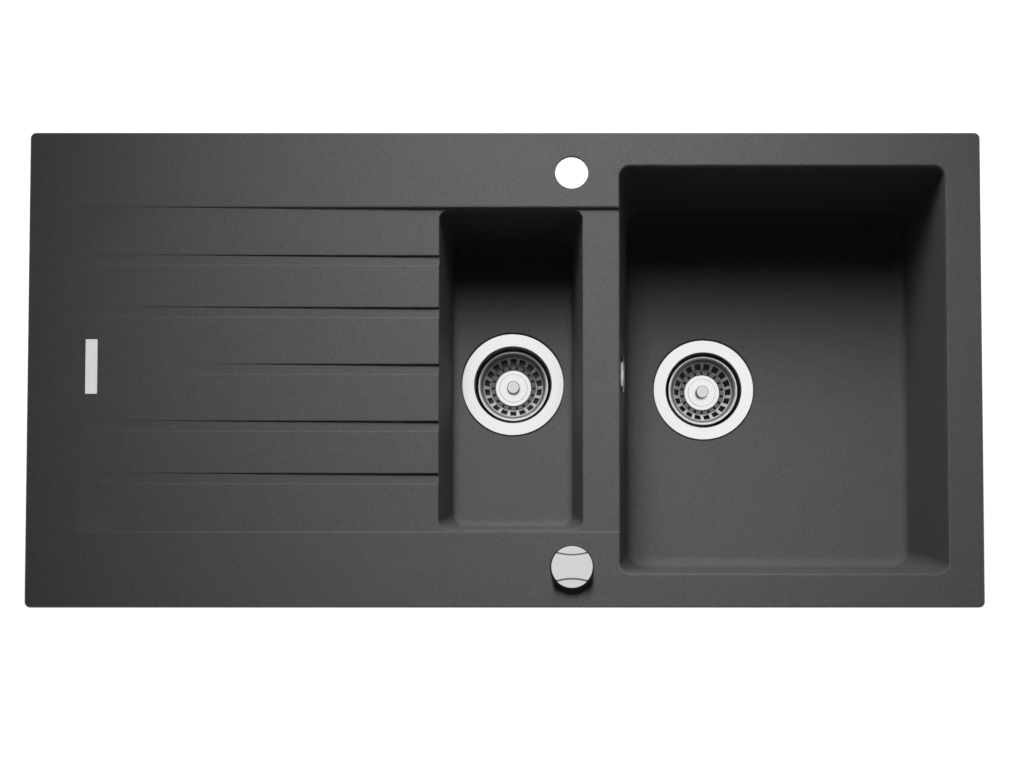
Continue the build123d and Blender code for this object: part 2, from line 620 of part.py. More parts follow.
def sink_body():
    """One moulding, as three solids that meet below the tray: the deck and the two bowls."""
    deck = extrude(RectangleRounded(SINK_LENGTH, SINK_WIDTH, OUTLINE_CORNER_RADIUS), RIM_HEIGHT)
    deck = fillet(deck.edges().group_by(Axis.Z)[-1], TOP_EDGE_RADIUS)
    step_length = SINK_LENGTH - 2 * RIM_LAND
    step_width = SINK_WIDTH - 2 * RIM_LAND
    step_outline = RectangleRounded(step_length, step_width, OUTLINE_CORNER_RADIUS)
    step = Pos(0, 0, DECK_UNDERSIDE_Z) * extrude(step_outline, LOCATING_STEP)
    main_shell, main_hollow = bowl_tools(
        MAIN_CENTRE_X,
        MAIN_LENGTH,
        MAIN_WIDTH,
        MAIN_CORNER_RADIUS,
        MAIN_EDGE_RADIUS,
        MAIN_SETBACK,
        MAIN_FLOOR_CORNER_RADIUS,
        MAIN_FLOOR_FILLET,
        DECK_Z,
        MAIN_FLOOR_Z,
    )
    small_shell, small_hollow = bowl_tools(
        SMALL_CENTRE_X,
        SMALL_LENGTH,
        SMALL_WIDTH,
        SMALL_CORNER_RADIUS,
        SMALL_EDGE_RADIUS,
        SMALL_SETBACK,
        SMALL_FLOOR_CORNER_RADIUS,
        SMALL_FLOOR_FILLET,
        RECESS_Z,
        SMALL_FLOOR_Z,
    )
    bosses = at_claws(post(CLAW_BOSS_RADIUS, CLAW_BOSS_END_Z, 0))
    grooves = [groove_tool(offset, setback) for offset, setback in groove_layout()]
    drainer = recess_tool() + grooves + badge_plate(gap=SLIP_FIT)
    overflow_hole = post(ROSETTE_TUBE_RADIUS + OVERFLOW_HOLE_GAP, -2 * BOWL_WALL, BOWL_WALL)
    main_hollow = main_hollow + OVERFLOW_WALL * overflow_hole
    body = deck + [step, drainer_tray(), main_shell, small_shell] + bosses
    body = body - [drainer, main_hollow, small_hollow]

    main_edge_x = MAIN_LEFT + MAIN_SETBACK + RECESS_DEPTH * DRAFT_SLOPE
    recess_foot = RECESS_HALF - RECESS_EDGE_RADIUS
    main_edge = edge_rounding(main_edge_x, RECESS_Z, MAIN_EDGE_RADIUS, recess_foot)
    plug_hole = post(PLUG_RADIUS + SLIP_FIT, CLAW_BOSS_END_Z, CLAW_BOSS_END_Z + PLUG_LENGTH)
    holes = [
        MAIN_WASTE * waste_seat_tool(),
        SMALL_WASTE * waste_seat_tool(),
        Pos(0, LEDGE_HOLE_Y, 0) * ledge_hole(),
        Pos(0, -LEDGE_HOLE_Y, 0) * ledge_hole(),
        rim_ring(RIM_SEAL_WIDTH, RIM_SEAL_DEPTH),
        main_edge,
    ]
    body = body - (holes + at_claws(plug_hole))
    shells = [
        shell_room(MAIN_CENTRE_X, MAIN_LENGTH, MAIN_WIDTH, MAIN_FLOOR_Z),
        shell_room(SMALL_CENTRE_X, SMALL_LENGTH, SMALL_WIDTH, SMALL_FLOOR_Z),
    ]
    return [body - shells] + [body & shell for shell in shells]


# Basket wastes, modelled about the Z axis with zero on the bowl floor


def flange_cup():
    """Pressed steel flange with a deep cup, slotted in its floor."""
    outline = [
        (FLANGE_RADIUS, 0),
        (FLANGE_THROAT_RADIUS, 0),
        (CUP_FLOOR_RADIUS, CUP_FLOOR_Z),
        (CLAMP_SCREW_RADIUS + SLIP_FIT, CUP_FLOOR_Z),
        (CLAMP_SCREW_RADIUS + SLIP_FIT, CUP_FLOOR_Z - CUP_WALL),
        (CUP_FLOOR_RADIUS + CUP_WALL, CUP_FLOOR_Z - CUP_WALL),
        (FLANGE_THROAT_RADIUS + CUP_WALL, -FLANGE_THICKNESS),
        (FLANGE_RADIUS, -FLANGE_THICKNESS),
    ]
    rounding = {
        0: FLANGE_EDGE_RADIUS,
        1: FLANGE_LIP_RADIUS,
        2: CUP_FLOOR_FILLET,
        5: CUP_FLOOR_FILLET + CUP_WALL,
    }
    slot_limits = (CUP_FLOOR_Z - 2 * CUP_WALL, CUP_FLOOR_Z + CUP_WALL)
    slots = ring(CUP_SLOT_OUTER_RADIUS, CUP_SLOT_INNER_RADIUS, *slot_limits)
    spoke = block(
        (0, CUP_FLOOR_RADIUS),
        (-CUP_SPOKE_WIDTH / 2, CUP_SPOKE_WIDTH / 2),
        (CUP_FLOOR_Z - 3 * CUP_WALL, CUP_FLOOR_Z + 2 * CUP_WALL),
    )
    slots = slots - [turn * spoke for turn in around(CUP_SPOKE_COUNT)]
    return turned(outline, rounding) - slots


def flange_seal():
    outer = FLANGE_RADIUS - FLANGE_EDGE_RADIUS
    return ring(outer, outer - FLANGE_SEAL_WIDTH, -FLANGE_SEAT_DEPTH, -FLANGE_THICKNESS)


def body_seal():
    outer = BODY_FLANGE_RADIUS - FLANGE_EDGE_RADIUS
    return ring(outer, outer - BODY_SEAL_WIDTH, BODY_TOP_Z, -BOWL_FLOOR)


def waste_body():
    """Plastic waste body: ribbed flange, round chamber, outlet spigot and clamp hub."""
    outlet_bore = OUTLET_RADIUS - OUTLET_WALL
    flange_end_z = BODY_TOP_Z - BODY_FLANGE_THICKNESS
    outline = [
        (BODY_INNER_RADIUS, BODY_TOP_Z),
        (BODY_FLANGE_RADIUS, BODY_TOP_Z),
        (BODY_FLANGE_RADIUS, flange_end_z),
        (BODY_RADIUS, flange_end_z),
        (BODY_RADIUS, BODY_FLOOR_Z),
        (OUTLET_RADIUS, OUTLET_TOP_Z),
        (OUTLET_RADIUS, OUTLET_END_Z),
        (outlet_bore, OUTLET_END_Z),
        (outlet_bore, OUTLET_TOP_Z + BODY_WALL),
        (BODY_INNER_RADIUS, BODY_FLOOR_Z + BODY_WALL),
    ]
    rounding = {1: BODY_EDGE_RADIUS, 2: BODY_EDGE_RADIUS, 4: BODY_FILLET + BODY_WALL, 9: BODY_FILLET}
    rib_points = [
        (BODY_RADIUS - BODY_WALL / 2, flange_end_z),
        (BODY_FLANGE_RADIUS - BODY_WALL, flange_end_z),
        (BODY_RADIUS - BODY_WALL / 2, flange_end_z - BODY_RIB_HEIGHT),
    ]
    rib = extrude(Plane.XZ * flat_face(rib_points), BODY_RIB_WIDTH / 2, both=True)
    arm = block(
        (0, BODY_INNER_RADIUS + BODY_WALL / 2),
        (-HUB_ARM_WIDTH / 2, HUB_ARM_WIDTH / 2),
        (HUB_TOP_Z - HUB_ARM_HEIGHT, HUB_TOP_Z),
    )
    additions = [turn * rib for turn in around(BODY_RIB_COUNT, 180 / BODY_RIB_COUNT)]
    additions += [turn * arm for turn in around(HUB_ARM_COUNT)]
    additions.append(post(HUB_RADIUS, HUB_BOTTOM_Z, HUB_TOP_Z))
    screw_hole = post(CLAMP_SCREW_RADIUS + SLIP_FIT, HUB_BOTTOM_Z, HUB_TOP_Z)
    return turned(outline, rounding) + additions - screw_hole


def main_waste_body():
    """Waste body with the boss of the lever shaft and the overflow's inlet."""
    wall_y = -sqrt(BODY_INNER_RADIUS**2 - SHAFT_X**2)
    boss = bar_y(SHAFT_BOSS_RADIUS, wall_y + SHAFT_BOSS_INSIDE, HOUSING_BACK_Y)
    shaft_bore = bar_y(SHAFT_RADIUS + RUNNING_FIT, 0, HOUSING_BACK_Y)
    seal_bore = bar_y(SHAFT_SEAL_RADIUS + SLIP_FIT, HOUSING_BACK_Y + SHAFT_SEAL_LENGTH, HOUSING_BACK_Y)
    at_shaft = Pos(SHAFT_X, 0, SHAFT_Z)
    at_inlet = Pos(0, 0, -OVERFLOW_INLET_DEPTH)
    spigot = at_inlet * bar_x(SPIGOT_RADIUS, -BODY_INNER_RADIUS, -BODY_RADIUS - SPIGOT_LENGTH)
    inlet_bore = at_inlet * bar_x(SPIGOT_BORE_RADIUS, -HUB_RADIUS, -BODY_RADIUS - SPIGOT_LENGTH)
    inside = post(BODY_INNER_RADIUS, SHAFT_Z, HUB_TOP_Z)
    body = waste_body() + [at_shaft * boss, spigot - inside]
    clear_of_hub = inlet_bore - post(BODY_INNER_RADIUS - BODY_WALL, OUTLET_END_Z, 0)
    return body - [at_shaft * shaft_bore, at_shaft * seal_bore, clear_of_hub]


def chamber_and_outlet(body):
    """The moulding as two touching solids: the chamber, and the outlet below its floor."""
    outlet_room = post(BODY_FLANGE_RADIUS, OUTLET_END_Z, BODY_FLOOR_Z)
    chamber = body - outlet_room
    outlet = body & outlet_room
    return Compound([chamber.solid(), outlet.solid()])


def clamp_screw(bore_radius=0.0):
    """Screw that draws the cup and the waste body together; the main one is hollow."""
    head = post(CLAMP_HEAD_RADIUS, CUP_FLOOR_Z, CUP_FLOOR_Z + CLAMP_HEAD_HEIGHT)
    head = fillet(head.edges().group_by(Axis.Z)[-1], CLAMP_HEAD_HEIGHT / 2)
    screw = head + post(CLAMP_SCREW_RADIUS, CLAMP_SCREW_END_Z, CUP_FLOOR_Z)
    if bore_radius > 0:
        screw = screw - post(bore_radius, CLAMP_SCREW_END_Z, CUP_FLOOR_Z + CLAMP_HEAD_HEIGHT)
    return screw


# Strainer baskets, modelled as closed: seated on the floor of the cup


def basket():
    """Steel basket: rolled rim, windowed wall and a floor with square holes."""
    rim_middle = BASKET_RIM_RADIUS - BASKET_RIM_TUBE
    bore = STEM_RADIUS + SLIP_FIT
    outline = [
        (rim_middle + BASKET_WALL / 2, -BASKET_RIM_DEPTH),
        (BASKET_SHOULDER_RADIUS, -BASKET_SHOULDER_DEPTH),
        (BASKET_FLOOR_RADIUS, BASKET_FLOOR_Z),
        (bore, BASKET_FLOOR_Z),
        (bore, BASKET_FLOOR_Z + BASKET_WALL),
        (BASKET_FLOOR_RADIUS - BASKET_WALL, BASKET_FLOOR_Z + BASKET_WALL),
        (BASKET_SHOULDER_RADIUS - BASKET_WALL, -BASKET_SHOULDER_DEPTH),
        (rim_middle - BASKET_WALL / 2, -BASKET_RIM_DEPTH),
    ]
    rounding = {2: BASKET_CORNER_RADIUS, 5: BASKET_CORNER_RADIUS - BASKET_WALL}
    rolled_rim = Pos(rim_middle, -BASKET_RIM_DEPTH) * Circle(BASKET_RIM_TUBE)
    section = rounded_face(outline, rounding) + rolled_rim
    shell = revolve(Plane.XZ * section, Axis.Z)

    wall_run = BASKET_SHOULDER_RADIUS - BASKET_FLOOR_RADIUS
    lean = atan2(wall_run, -BASKET_SHOULDER_DEPTH - BASKET_FLOOR_Z)
    window_r = (BASKET_SHOULDER_RADIUS + BASKET_FLOOR_RADIUS) / 2
    window_z = (BASKET_FLOOR_Z - BASKET_SHOULDER_DEPTH) / 2
    window = Box(WINDOW_CUT, WINDOW_WIDTH, WINDOW_LENGTH)
    window = Pos(window_r, 0, window_z) * Rot(0, degrees(lean), 0) * window
    square = Box(SQUARE_HOLE, SQUARE_HOLE, 4 * BASKET_WALL)
    square = Pos(SQUARE_HOLE_PITCH_RADIUS, 0, BASKET_FLOOR_Z) * square
    pitch = 360 / WINDOW_COUNT
    holes = [turn * window for turn in around(WINDOW_COUNT, pitch / 2)]
    holes += [turn * square for turn in around(WINDOW_COUNT)]
    return shell - holes


def basket_disc():
    """Polished cover disc with a raised middle."""
    bore = STEM_RADIUS + SLIP_FIT
    shelf_z = DISC_BASE_Z + DISC_THICKNESS
    outline = [
        (bore, DISC_BASE_Z),
        (DISC_RADIUS, DISC_BASE_Z),
        (DISC_RADIUS, shelf_z),
        (DISC_STEP_RADIUS, shelf_z),
        (DISC_STEP_RADIUS, POST_BASE_Z),
        (bore, POST_BASE_Z),
    ]
    return turned(outline, {2: DISC_EDGE_RADIUS, 4: DISC_STEP_HEIGHT / 2})


def basket_post():
    """Grip post, waisted, with a blind hole for the stem."""
    top = POST_BASE_Z + POST_HEIGHT
    waist_z = POST_BASE_Z + POST_HEIGHT * POST_WAIST_SHARE
    outline = [
        (0, POST_BASE_Z),
        (POST_RADIUS, POST_BASE_Z),
        (POST_WAIST_RADIUS, waist_z),
        (POST_RADIUS, top - 2 * POST_EDGE_RADIUS),
        (POST_RADIUS, top),
        (0, top),
    ]
    grip = turned(outline, {2: POST_RADIUS, 4: POST_EDGE_RADIUS})
    return grip - post(STEM_RADIUS + SLIP_FIT, POST_BASE_Z, POST_BASE_Z + STEM_THREAD)


def basket_seal():
    """Rubber seal under the basket; its lip stands on the floor of the cup."""
    plate_z = BASKET_FLOOR_Z - BASKET_SEAL_PLATE
    lip = BASKET_SEAL_RADIUS - BASKET_SEAL_LIP
    bore = STEM_RADIUS + SLIP_FIT
    outline = [
        (bore, BASKET_FLOOR_Z),
        (BASKET_SEAL_RADIUS, BASKET_FLOOR_Z),
        (BASKET_SEAL_RADIUS, CUP_FLOOR_Z),
        (lip, CUP_FLOOR_Z),
        (lip, plate_z),
        (bore, plate_z),
    ]
    return turned(outline)


def basket_stem():
    """Stem that holds seal, basket, disc and post together."""
    head = post(STEM_HEAD_RADIUS, STEM_END_Z, BASKET_FLOOR_Z - BASKET_SEAL_PLATE)
    return head + post(STEM_RADIUS, STEM_END_Z, POST_BASE_Z + STEM_THREAD)


# Pop-up lift: pin, lever, shaft and crank, shown raised


def lift_pin():
    """Pin through the hollow clamp screw, its lower end rounded where the lever carries it."""
    pin = post(PIN_RADIUS, PIN_END_Z, PIN_TOP_Z)
    return fillet(pin.edges().group_by(Axis.Z)[0], PIN_END_RADIUS)


def lift_lever():
    """Lever whose round tip carries the pin, about its shaft's axis."""
    half = LEVER_WIDTH / 2
    arm = block((-LEVER_LENGTH, 0), (-half, half), (-LEVER_TIP_RADIUS, LEVER_TIP_RADIUS))
    tip = Pos(-LEVER_LENGTH, 0, 0) * bar_y(LEVER_TIP_RADIUS, -half, half)
    lever = bar_y(LEVER_HUB_RADIUS, -half, half) + [arm, tip]
    lever = lever - bar_y(SHAFT_RADIUS + RUNNING_FIT, -LEVER_WIDTH, LEVER_WIDTH)
    return Rot(0, LEVER_SWING, 0) * lever


def lever_shaft():
    return bar_y(SHAFT_RADIUS, LEVER_WIDTH / 2 + SHAFT_END, CRANK_Y - CRANK_THICKNESS / 2 - SHAFT_END)


def lever_crank():
    """Crank on the shaft's outer end, pulled by the cable."""
    half = CRANK_THICKNESS / 2
    arm = block((-CRANK_TIP_RADIUS, CRANK_TIP_RADIUS), (-half, half), (-CRANK_LENGTH, 0))
    tip = Pos(0, 0, -CRANK_LENGTH) * bar_y(CRANK_TIP_RADIUS, -half, half)
    crank = bar_y(CRANK_HUB_RADIUS, -half, half) + [arm, tip]
    crank = crank - bar_y(SHAFT_RADIUS + RUNNING_FIT, -CRANK_THICKNESS, CRANK_THICKNESS)
    return Pos(0, CRANK_Y, 0) * Rot(0, LEVER_SWING, 0) * crank


def shaft_seal():
    ring_seal = bar_y(SHAFT_SEAL_RADIUS, HOUSING_BACK_Y + SHAFT_SEAL_LENGTH, HOUSING_BACK_Y)
    return ring_seal - bar_y(SHAFT_RADIUS + RUNNING_FIT, 0, 2 * HOUSING_BACK_Y)


def housing_slab(inset, start_y, end_y):
    """Rounded slab across the lever housing, set in from its outline."""
    top = HOUSING_MARGIN
    bottom = -CRANK_LENGTH - HOUSING_MARGIN
    length = 2 * (HOUSING_HALF_LENGTH - inset)
    height = top - bottom - 2 * inset
    outline = RectangleRounded(length, height, HOUSING_CORNER_RADIUS - inset)
    slab = extrude(Plane.XZ * outline, start_y - end_y)
    return Pos(0, start_y, (top + bottom) / 2) * slab


def cover_screw_places():
    x = HOUSING_HALF_LENGTH - COVER_SCREW_BOSS_RADIUS
    top = HOUSING_MARGIN - COVER_SCREW_BOSS_RADIUS
    bottom = -CRANK_LENGTH - HOUSING_MARGIN + COVER_SCREW_BOSS_RADIUS
    return [Pos(side * x, 0, z) for side in (-1, 1) for z in (bottom, top)]


def lever_housing():
    """Box around the crank, open at the front, with screw bosses in its corners."""
    inner_back = HOUSING_BACK_Y - HOUSING_WALL
    outer = housing_slab(0, HOUSING_BACK_Y, HOUSING_FRONT_Y)
    room = housing_slab(HOUSING_WALL, inner_back, HOUSING_FRONT_Y)
    boss = bar_y(COVER_SCREW_BOSS_RADIUS, inner_back, HOUSING_FRONT_Y)
    screw_end = HOUSING_FRONT_Y + COVER_SCREW_LENGTH
    screw_hole = bar_y(COVER_SCREW_RADIUS + SLIP_FIT, screw_end, HOUSING_FRONT_Y)
    shaft_hole = bar_y(SHAFT_RADIUS + FREE_GAP, HOUSING_BACK_Y, inner_back)
    ferrule_hole = bar_x(FERRULE_RADIUS + SLIP_FIT, -2 * HOUSING_HALF_LENGTH, 0)
    ferrule_hole = Pos(0, CRANK_Y, -CRANK_LENGTH) * ferrule_hole
    housing = outer - room + [place * boss for place in cover_screw_places()]
    holes = [place * screw_hole for place in cover_screw_places()]
    return housing - (holes + [shaft_hole, ferrule_hole])


def lever_housing_cover():
    screw_hole = bar_y(COVER_SCREW_RADIUS + SLIP_FIT, HOUSING_FRONT_Y, HOUSING_FRONT_Y - HOUSING_WALL)
    cover = housing_slab(0, HOUSING_FRONT_Y, HOUSING_FRONT_Y - HOUSING_WALL)
    return cover - [place * screw_hole for place in cover_screw_places()]


def cover_screws():
    face_y = HOUSING_FRONT_Y - HOUSING_WALL
    head = bar_y(COVER_SCREW_HEAD_RADIUS, face_y, face_y - COVER_SCREW_HEAD_HEIGHT)
    screw = head + bar_y(COVER_SCREW_RADIUS, HOUSING_FRONT_Y + COVER_SCREW_LENGTH, face_y)
    return [place * screw for place in cover_screw_places()]


# Overflow, square to the main bowl's drafted left wall


def overflow_rosette():
    """Ring in the bowl with a tube through the wall."""
    outline = [
        (ROSETTE_MOUTH_RADIUS, ROSETTE_THICKNESS),
        (ROSETTE_RADIUS, ROSETTE_THICKNESS),
        (ROSETTE_RADIUS, 0),
        (ROSETTE_TUBE_RADIUS, 0),
        (ROSETTE_TUBE_RADIUS, -ROSETTE_TUBE_LENGTH),
        (ROSETTE_MOUTH_RADIUS, -ROSETTE_TUBE_LENGTH),
    ]
    return turned(outline, {0: ROSETTE_EDGE_RADIUS, 1: ROSETTE_EDGE_RADIUS})


def overflow_seal():
    top = -WALL_NORMAL_THICKNESS
    hole = ROSETTE_TUBE_RADIUS + SLIP_FIT
    return ring(ELBOW_FLANGE_RADIUS, hole, top - OVERFLOW_SEAL_THICKNESS, top)


def overflow_elbow():
    """Chamber behind the wall with a spigot straight down between the bowls."""
    flange_top = -WALL_NORMAL_THICKNESS - OVERFLOW_SEAL_THICKNESS
    chamber_end = SHELL_GAP_LEFT + ELBOW_ROOM - OVERFLOW_WALL_X
    flange = post(ELBOW_FLANGE_RADIUS, flange_top - ELBOW_FLANGE_THICKNESS, flange_top)
    chamber = post(ELBOW_RADIUS, chamber_end, flange_top)
    chamber = fillet(chamber.edges().group_by(Axis.Z)[0], ELBOW_WALL)
    room = post(ELBOW_RADIUS - ELBOW_WALL, chamber_end + ELBOW_WALL, flange_top)
    at_pipe = Pos(PIPE_X, 0, 0)
    spigot = at_pipe * post(SPIGOT_RADIUS, ELBOW_SPIGOT_END_Z, OVERFLOW_Z)
    bore = at_pipe * post(SPIGOT_BORE_RADIUS, ELBOW_SPIGOT_END_Z, OVERFLOW_Z)
    outside = OVERFLOW_WALL * (flange + chamber) + spigot
    return outside - [OVERFLOW_WALL * room, bore]


def overflow_pipe():
    """Pipe down between the bowls and round to the main waste."""
    top = (PIPE_X, 0, ELBOW_SPIGOT_END_Z + PIPE_INSERT)
    corner = (PIPE_X, 0, INLET_Z)
    end = (INLET_END_X + PIPE_INSERT, 0, INLET_Z)
    path = FilletPolyline(top, corner, end, radius=PIPE_BEND_RADIUS)
    start = Plane(top, z_dir=(0, 0, -1))
    outside = sweep(start * Circle(PIPE_RADIUS), path)
    return outside - sweep(start * Circle(PIPE_RADIUS - PIPE_WALL), path)


def compression_nut():
    """Nut over a spigot's end at z = 0, with the spigot above and the pipe below."""
    top = NUT_HEIGHT - NUT_LIP
    nut = post(NUT_RADIUS, -NUT_LIP, top)
    grip_r = NUT_RADIUS + NUT_GRIP_RADIUS - NUT_GRIP_DEPTH
    grip = Pos(grip_r, 0, 0) * post(NUT_GRIP_RADIUS, -NUT_LIP, top)
    grips = [turn * grip for turn in around(NUT_GRIP_COUNT)]
    bore = post(SPIGOT_RADIUS + SLIP_FIT, 0, top)
    return nut - (grips + [bore, post(PIPE_RADIUS + SLIP_FIT, -NUT_LIP, 0)])


# Turning control, modelled about the Z axis with zero on the deck's top


def control_seal():
    return ring(CONTROL_SEAL_RADIUS, BUSH_RADIUS + SLIP_FIT, 0, CONTROL_SEAL_THICKNESS)


def control_bush():
    flange_z = CONTROL_SEAL_THICKNESS
    flange = post(BUSH_FLANGE_RADIUS, flange_z, flange_z + BUSH_FLANGE_THICKNESS)
    shank = post(BUSH_RADIUS, -BUSH_LENGTH, flange_z)
    return flange + shank - post(SPINDLE_RADIUS + RUNNING_FIT, -BUSH_LENGTH, KNOB_POCKET_Z)


def control_washer():
    top = -DECK_THICKNESS
    return ring(CONTROL_NUT_RADIUS, BUSH_RADIUS + SLIP_FIT, top - CONTROL_WASHER_THICKNESS, top)


def control_nut():
    """Six-sided nut under the deck, its corners turned down."""
    top = -DECK_THICKNESS - CONTROL_WASHER_THICKNESS
    bottom = top - CONTROL_NUT_HEIGHT
    sides = extrude(RegularPolygon(CONTROL_NUT_RADIUS / cos(radians(30)), 6), CONTROL_NUT_HEIGHT)
    nut = Pos(0, 0, bottom) * sides
    nut = nut & post(CONTROL_NUT_RADIUS * (1 + 1 / cos(radians(30))) / 2, bottom, top)
    return nut - post(BUSH_RADIUS + SLIP_FIT, bottom, top)


def control_knob():
    """Round knob with a raised grip, waisted in plan, between two scooped ends."""
    body = post(KNOB_RADIUS, KNOB_BASE_Z, KNOB_TOP_Z)
    body = fillet(body.edges().group_by(Axis.Z)[-1], KNOB_EDGE_RADIUS)
    bulge = (GRIP_END - GRIP_WAIST) / 2
    half_chord = sqrt(KNOB_RADIUS**2 - (GRIP_END / 2) ** 2)
    scoop_radius = (half_chord**2 + bulge**2) / (2 * bulge)
    scoop_height = 2 * SCOOP_DEPTH
    widening = scoop_height * tan(radians(GRIP_WALL_SLOPE))
    top_radius = scoop_radius + widening / 2
    scoop = Pos(0, 0, KNOB_TOP_Z) * Cone(top_radius - widening, top_radius, scoop_height)
    scoop = fillet(scoop.edges().group_by(Axis.Z)[0], SCOOP_FILLET)
    scoop_y = GRIP_WAIST / 2 + scoop_radius
    pocket = post(BUSH_FLANGE_RADIUS + KNOB_POCKET_GAP, KNOB_BASE_Z, KNOB_POCKET_Z)
    socket = post(SPINDLE_RADIUS + SLIP_FIT, KNOB_POCKET_Z, KNOB_POCKET_Z + SPINDLE_SOCKET_DEPTH)
    grub_hole = Pos(0, 0, KNOB_POCKET_Z + GRUB_HEIGHT) * bar_y(GRUB_RADIUS + SLIP_FIT, 0, KNOB_RADIUS)
    scoops = [Pos(0, side * scoop_y, 0) * scoop for side in (-1, 1)]
    return body - (scoops + [pocket, socket, grub_hole])


def knob_grub_screw():
    start = SPINDLE_RADIUS + SLIP_FIT
    return Pos(0, 0, KNOB_POCKET_Z + GRUB_HEIGHT) * bar_y(GRUB_RADIUS, start, start + GRUB_LENGTH)


def control_spindle():
    bottom = -BUSH_LENGTH - CAM_HOUSING_HEIGHT + CAM_HOUSING_WALL
    return post(SPINDLE_RADIUS, bottom, KNOB_POCKET_Z + SPINDLE_SOCKET_DEPTH)


def cable_cam():
    """Grooved cam on the spindle that winds the cable."""
    cam = post(CAM_RADIUS, CAM_Z - CAM_THICKNESS / 2, CAM_Z + CAM_THICKNESS / 2)
    groove = Pos(0, 0, CAM_Z) * Torus(CAM_RADIUS, CAM_GROOVE_RADIUS)
    bore = post(SPINDLE_RADIUS + RUNNING_FIT, CAM_Z - CAM_THICKNESS, CAM_Z + CAM_THICKNESS)
    return cam - [groove, bore]


def cam_slab(inset, bottom, top):
    side = 2 * (CAM_HOUSING_HALF - inset)
    outline = RectangleRounded(side, side, CAM_HOUSING_CORNER_RADIUS - inset)
    return Pos(0, 0, bottom) * extrude(outline, top - bottom)


def cam_housing():
    """Box under the bush around the cam, open below."""
    top = -BUSH_LENGTH
    bottom = top - CAM_HOUSING_HEIGHT
    room = cam_slab(CAM_HOUSING_WALL, bottom, top - CAM_HOUSING_WALL)
    spindle_hole = post(SPINDLE_RADIUS + FREE_GAP, bottom, top)
    ferrule_hole = Pos(0, -CAM_RADIUS, CAM_Z) * bar_x(FERRULE_RADIUS + SLIP_FIT, -2 * CAM_HOUSING_HALF, 0)
    return cam_slab(0, bottom, top) - [room, spindle_hole, ferrule_hole]


def cam_housing_cover():
    top = -BUSH_LENGTH - CAM_HOUSING_HEIGHT
    return cam_slab(0, top - CAM_HOUSING_WALL, top)


# Control cable


def ferrule(wall):
    """Sleeve on a cable's end, from the inside of a housing's wall outwards along -X."""
    sleeve = bar_x(FERRULE_RADIUS, wall, -FERRULE_LENGTH)
    return sleeve - bar_x(FERRULE_BORE_RADIUS, wall, -FERRULE_LENGTH)


CAM_EXIT = CONTROL * Pos(-CAM_HOUSING_HALF, -CAM_RADIUS, CAM_Z)
LEVER_EXIT = LEVER_PLACE * Pos(-HOUSING_HALF_LENGTH, CRANK_Y, -CRANK_LENGTH)


def cable_ferrules():
    return [CAM_EXIT * ferrule(CAM_HOUSING_WALL), LEVER_EXIT * ferrule(HOUSING_WALL)]


def cable_points():
    start = CAM_EXIT.position + Vector(-FERRULE_LENGTH, 0, 0)
    end = LEVER_EXIT.position + Vector(-FERRULE_LENGTH, 0, 0)
    span = end - start
    route = [start, start - Vector(CABLE_FIRST_RUN, 0, 0)]
    for bow, across, down in CABLE_ROUTE:
        route.append(start + Vector(down * span.X + bow, across * span.Y, down * span.Z))
    return route + [end - Vector(CABLE_LAST_RUN, 0, 0), end]


def cable_radii(points):
    """Arc at each corner, as large as its two runs allow."""
    radii = []
    for before, corner, after in zip(points, points[1:], points[2:]):
        run_in = corner - before
        run_out = after - corner
        half_turn = radians(run_in.get_angle(run_out)) / 2
        radii.append(CABLE_BEND_SHARE * min(run_in.length, run_out.length) / tan(half_turn))
    return radii


def cable_sheath():
    points = cable_points()
    radii = cable_radii(points)
    path = FilletPolyline(*points, radius=radii)
    section = Plane(points[0], z_dir=(points[1] - points[0])) * Circle(CABLE_RADIUS)
    sheath = sweep(section, path)
    print("cable radii", [round(radius) for radius in radii])
    print("cable length", round(path.length), "volume ratio", sheath.volume / (section.area * path.length))
    return sheath


# Fixing claws


def claw():
    """Bent steel claw about its screw's axis, reaching along +X."""
    bottom = -WORKTOP_THICKNESS - CLAW_RISE
    top = bottom + CLAW_THICKNESS
    half = CLAW_WIDTH / 2
    outline = [
        (0, bottom),
        (CLAW_REACH, bottom),
        (CLAW_REACH, -WORKTOP_THICKNESS),
        (CLAW_REACH - CLAW_THICKNESS, -WORKTOP_THICKNESS),
        (CLAW_REACH - CLAW_THICKNESS, top),
        (0, top),
    ]
    rounding = {1: CLAW_BEND_RADIUS, 4: CLAW_BEND_RADIUS - CLAW_THICKNESS}
    arm = extrude(Plane.XZ * rounded_face(outline, rounding), half, both=True)
    hole = post(CLAW_SCREW_RADIUS + RUNNING_FIT, bottom, top)
    return arm + post(half, bottom, top) - hole


def claw_plugs():
    """Threaded plugs in the bosses."""
    end = CLAW_BOSS_END_Z
    plug = ring(PLUG_RADIUS, CLAW_SCREW_RADIUS + RUNNING_FIT, end, end + PLUG_LENGTH)
    return at_claws(plug)


def claw_screws():
    """Six-sided screws that carry the claws."""
    head_top = -WORKTOP_THICKNESS - CLAW_RISE
    head = Pos(0, 0, head_top - CLAW_HEAD_HEIGHT) * extrude(
        RegularPolygon(CLAW_HEAD_RADIUS, 6), CLAW_HEAD_HEIGHT
    )
    shank = post(CLAW_SCREW_RADIUS, head_top, CLAW_BOSS_END_Z + PLUG_LENGTH)
    return at_claws(head + shank)


def waste_pieces(name, place, basket_place):
    """Pieces that both wastes have alike."""
    return {
        name + "_flange_cup": place * flange_cup(),
        name + "_flange_seal": place * flange_seal(),
        name + "_body_seal": place * body_seal(),
        name + "_basket": basket_place * basket(),
        name + "_basket_disc": basket_place * basket_disc(),
        name + "_basket_post": basket_place * basket_post(),
        name + "_basket_seal": basket_place * basket_seal(),
        name + "_basket_stem": basket_place * basket_stem(),
    }


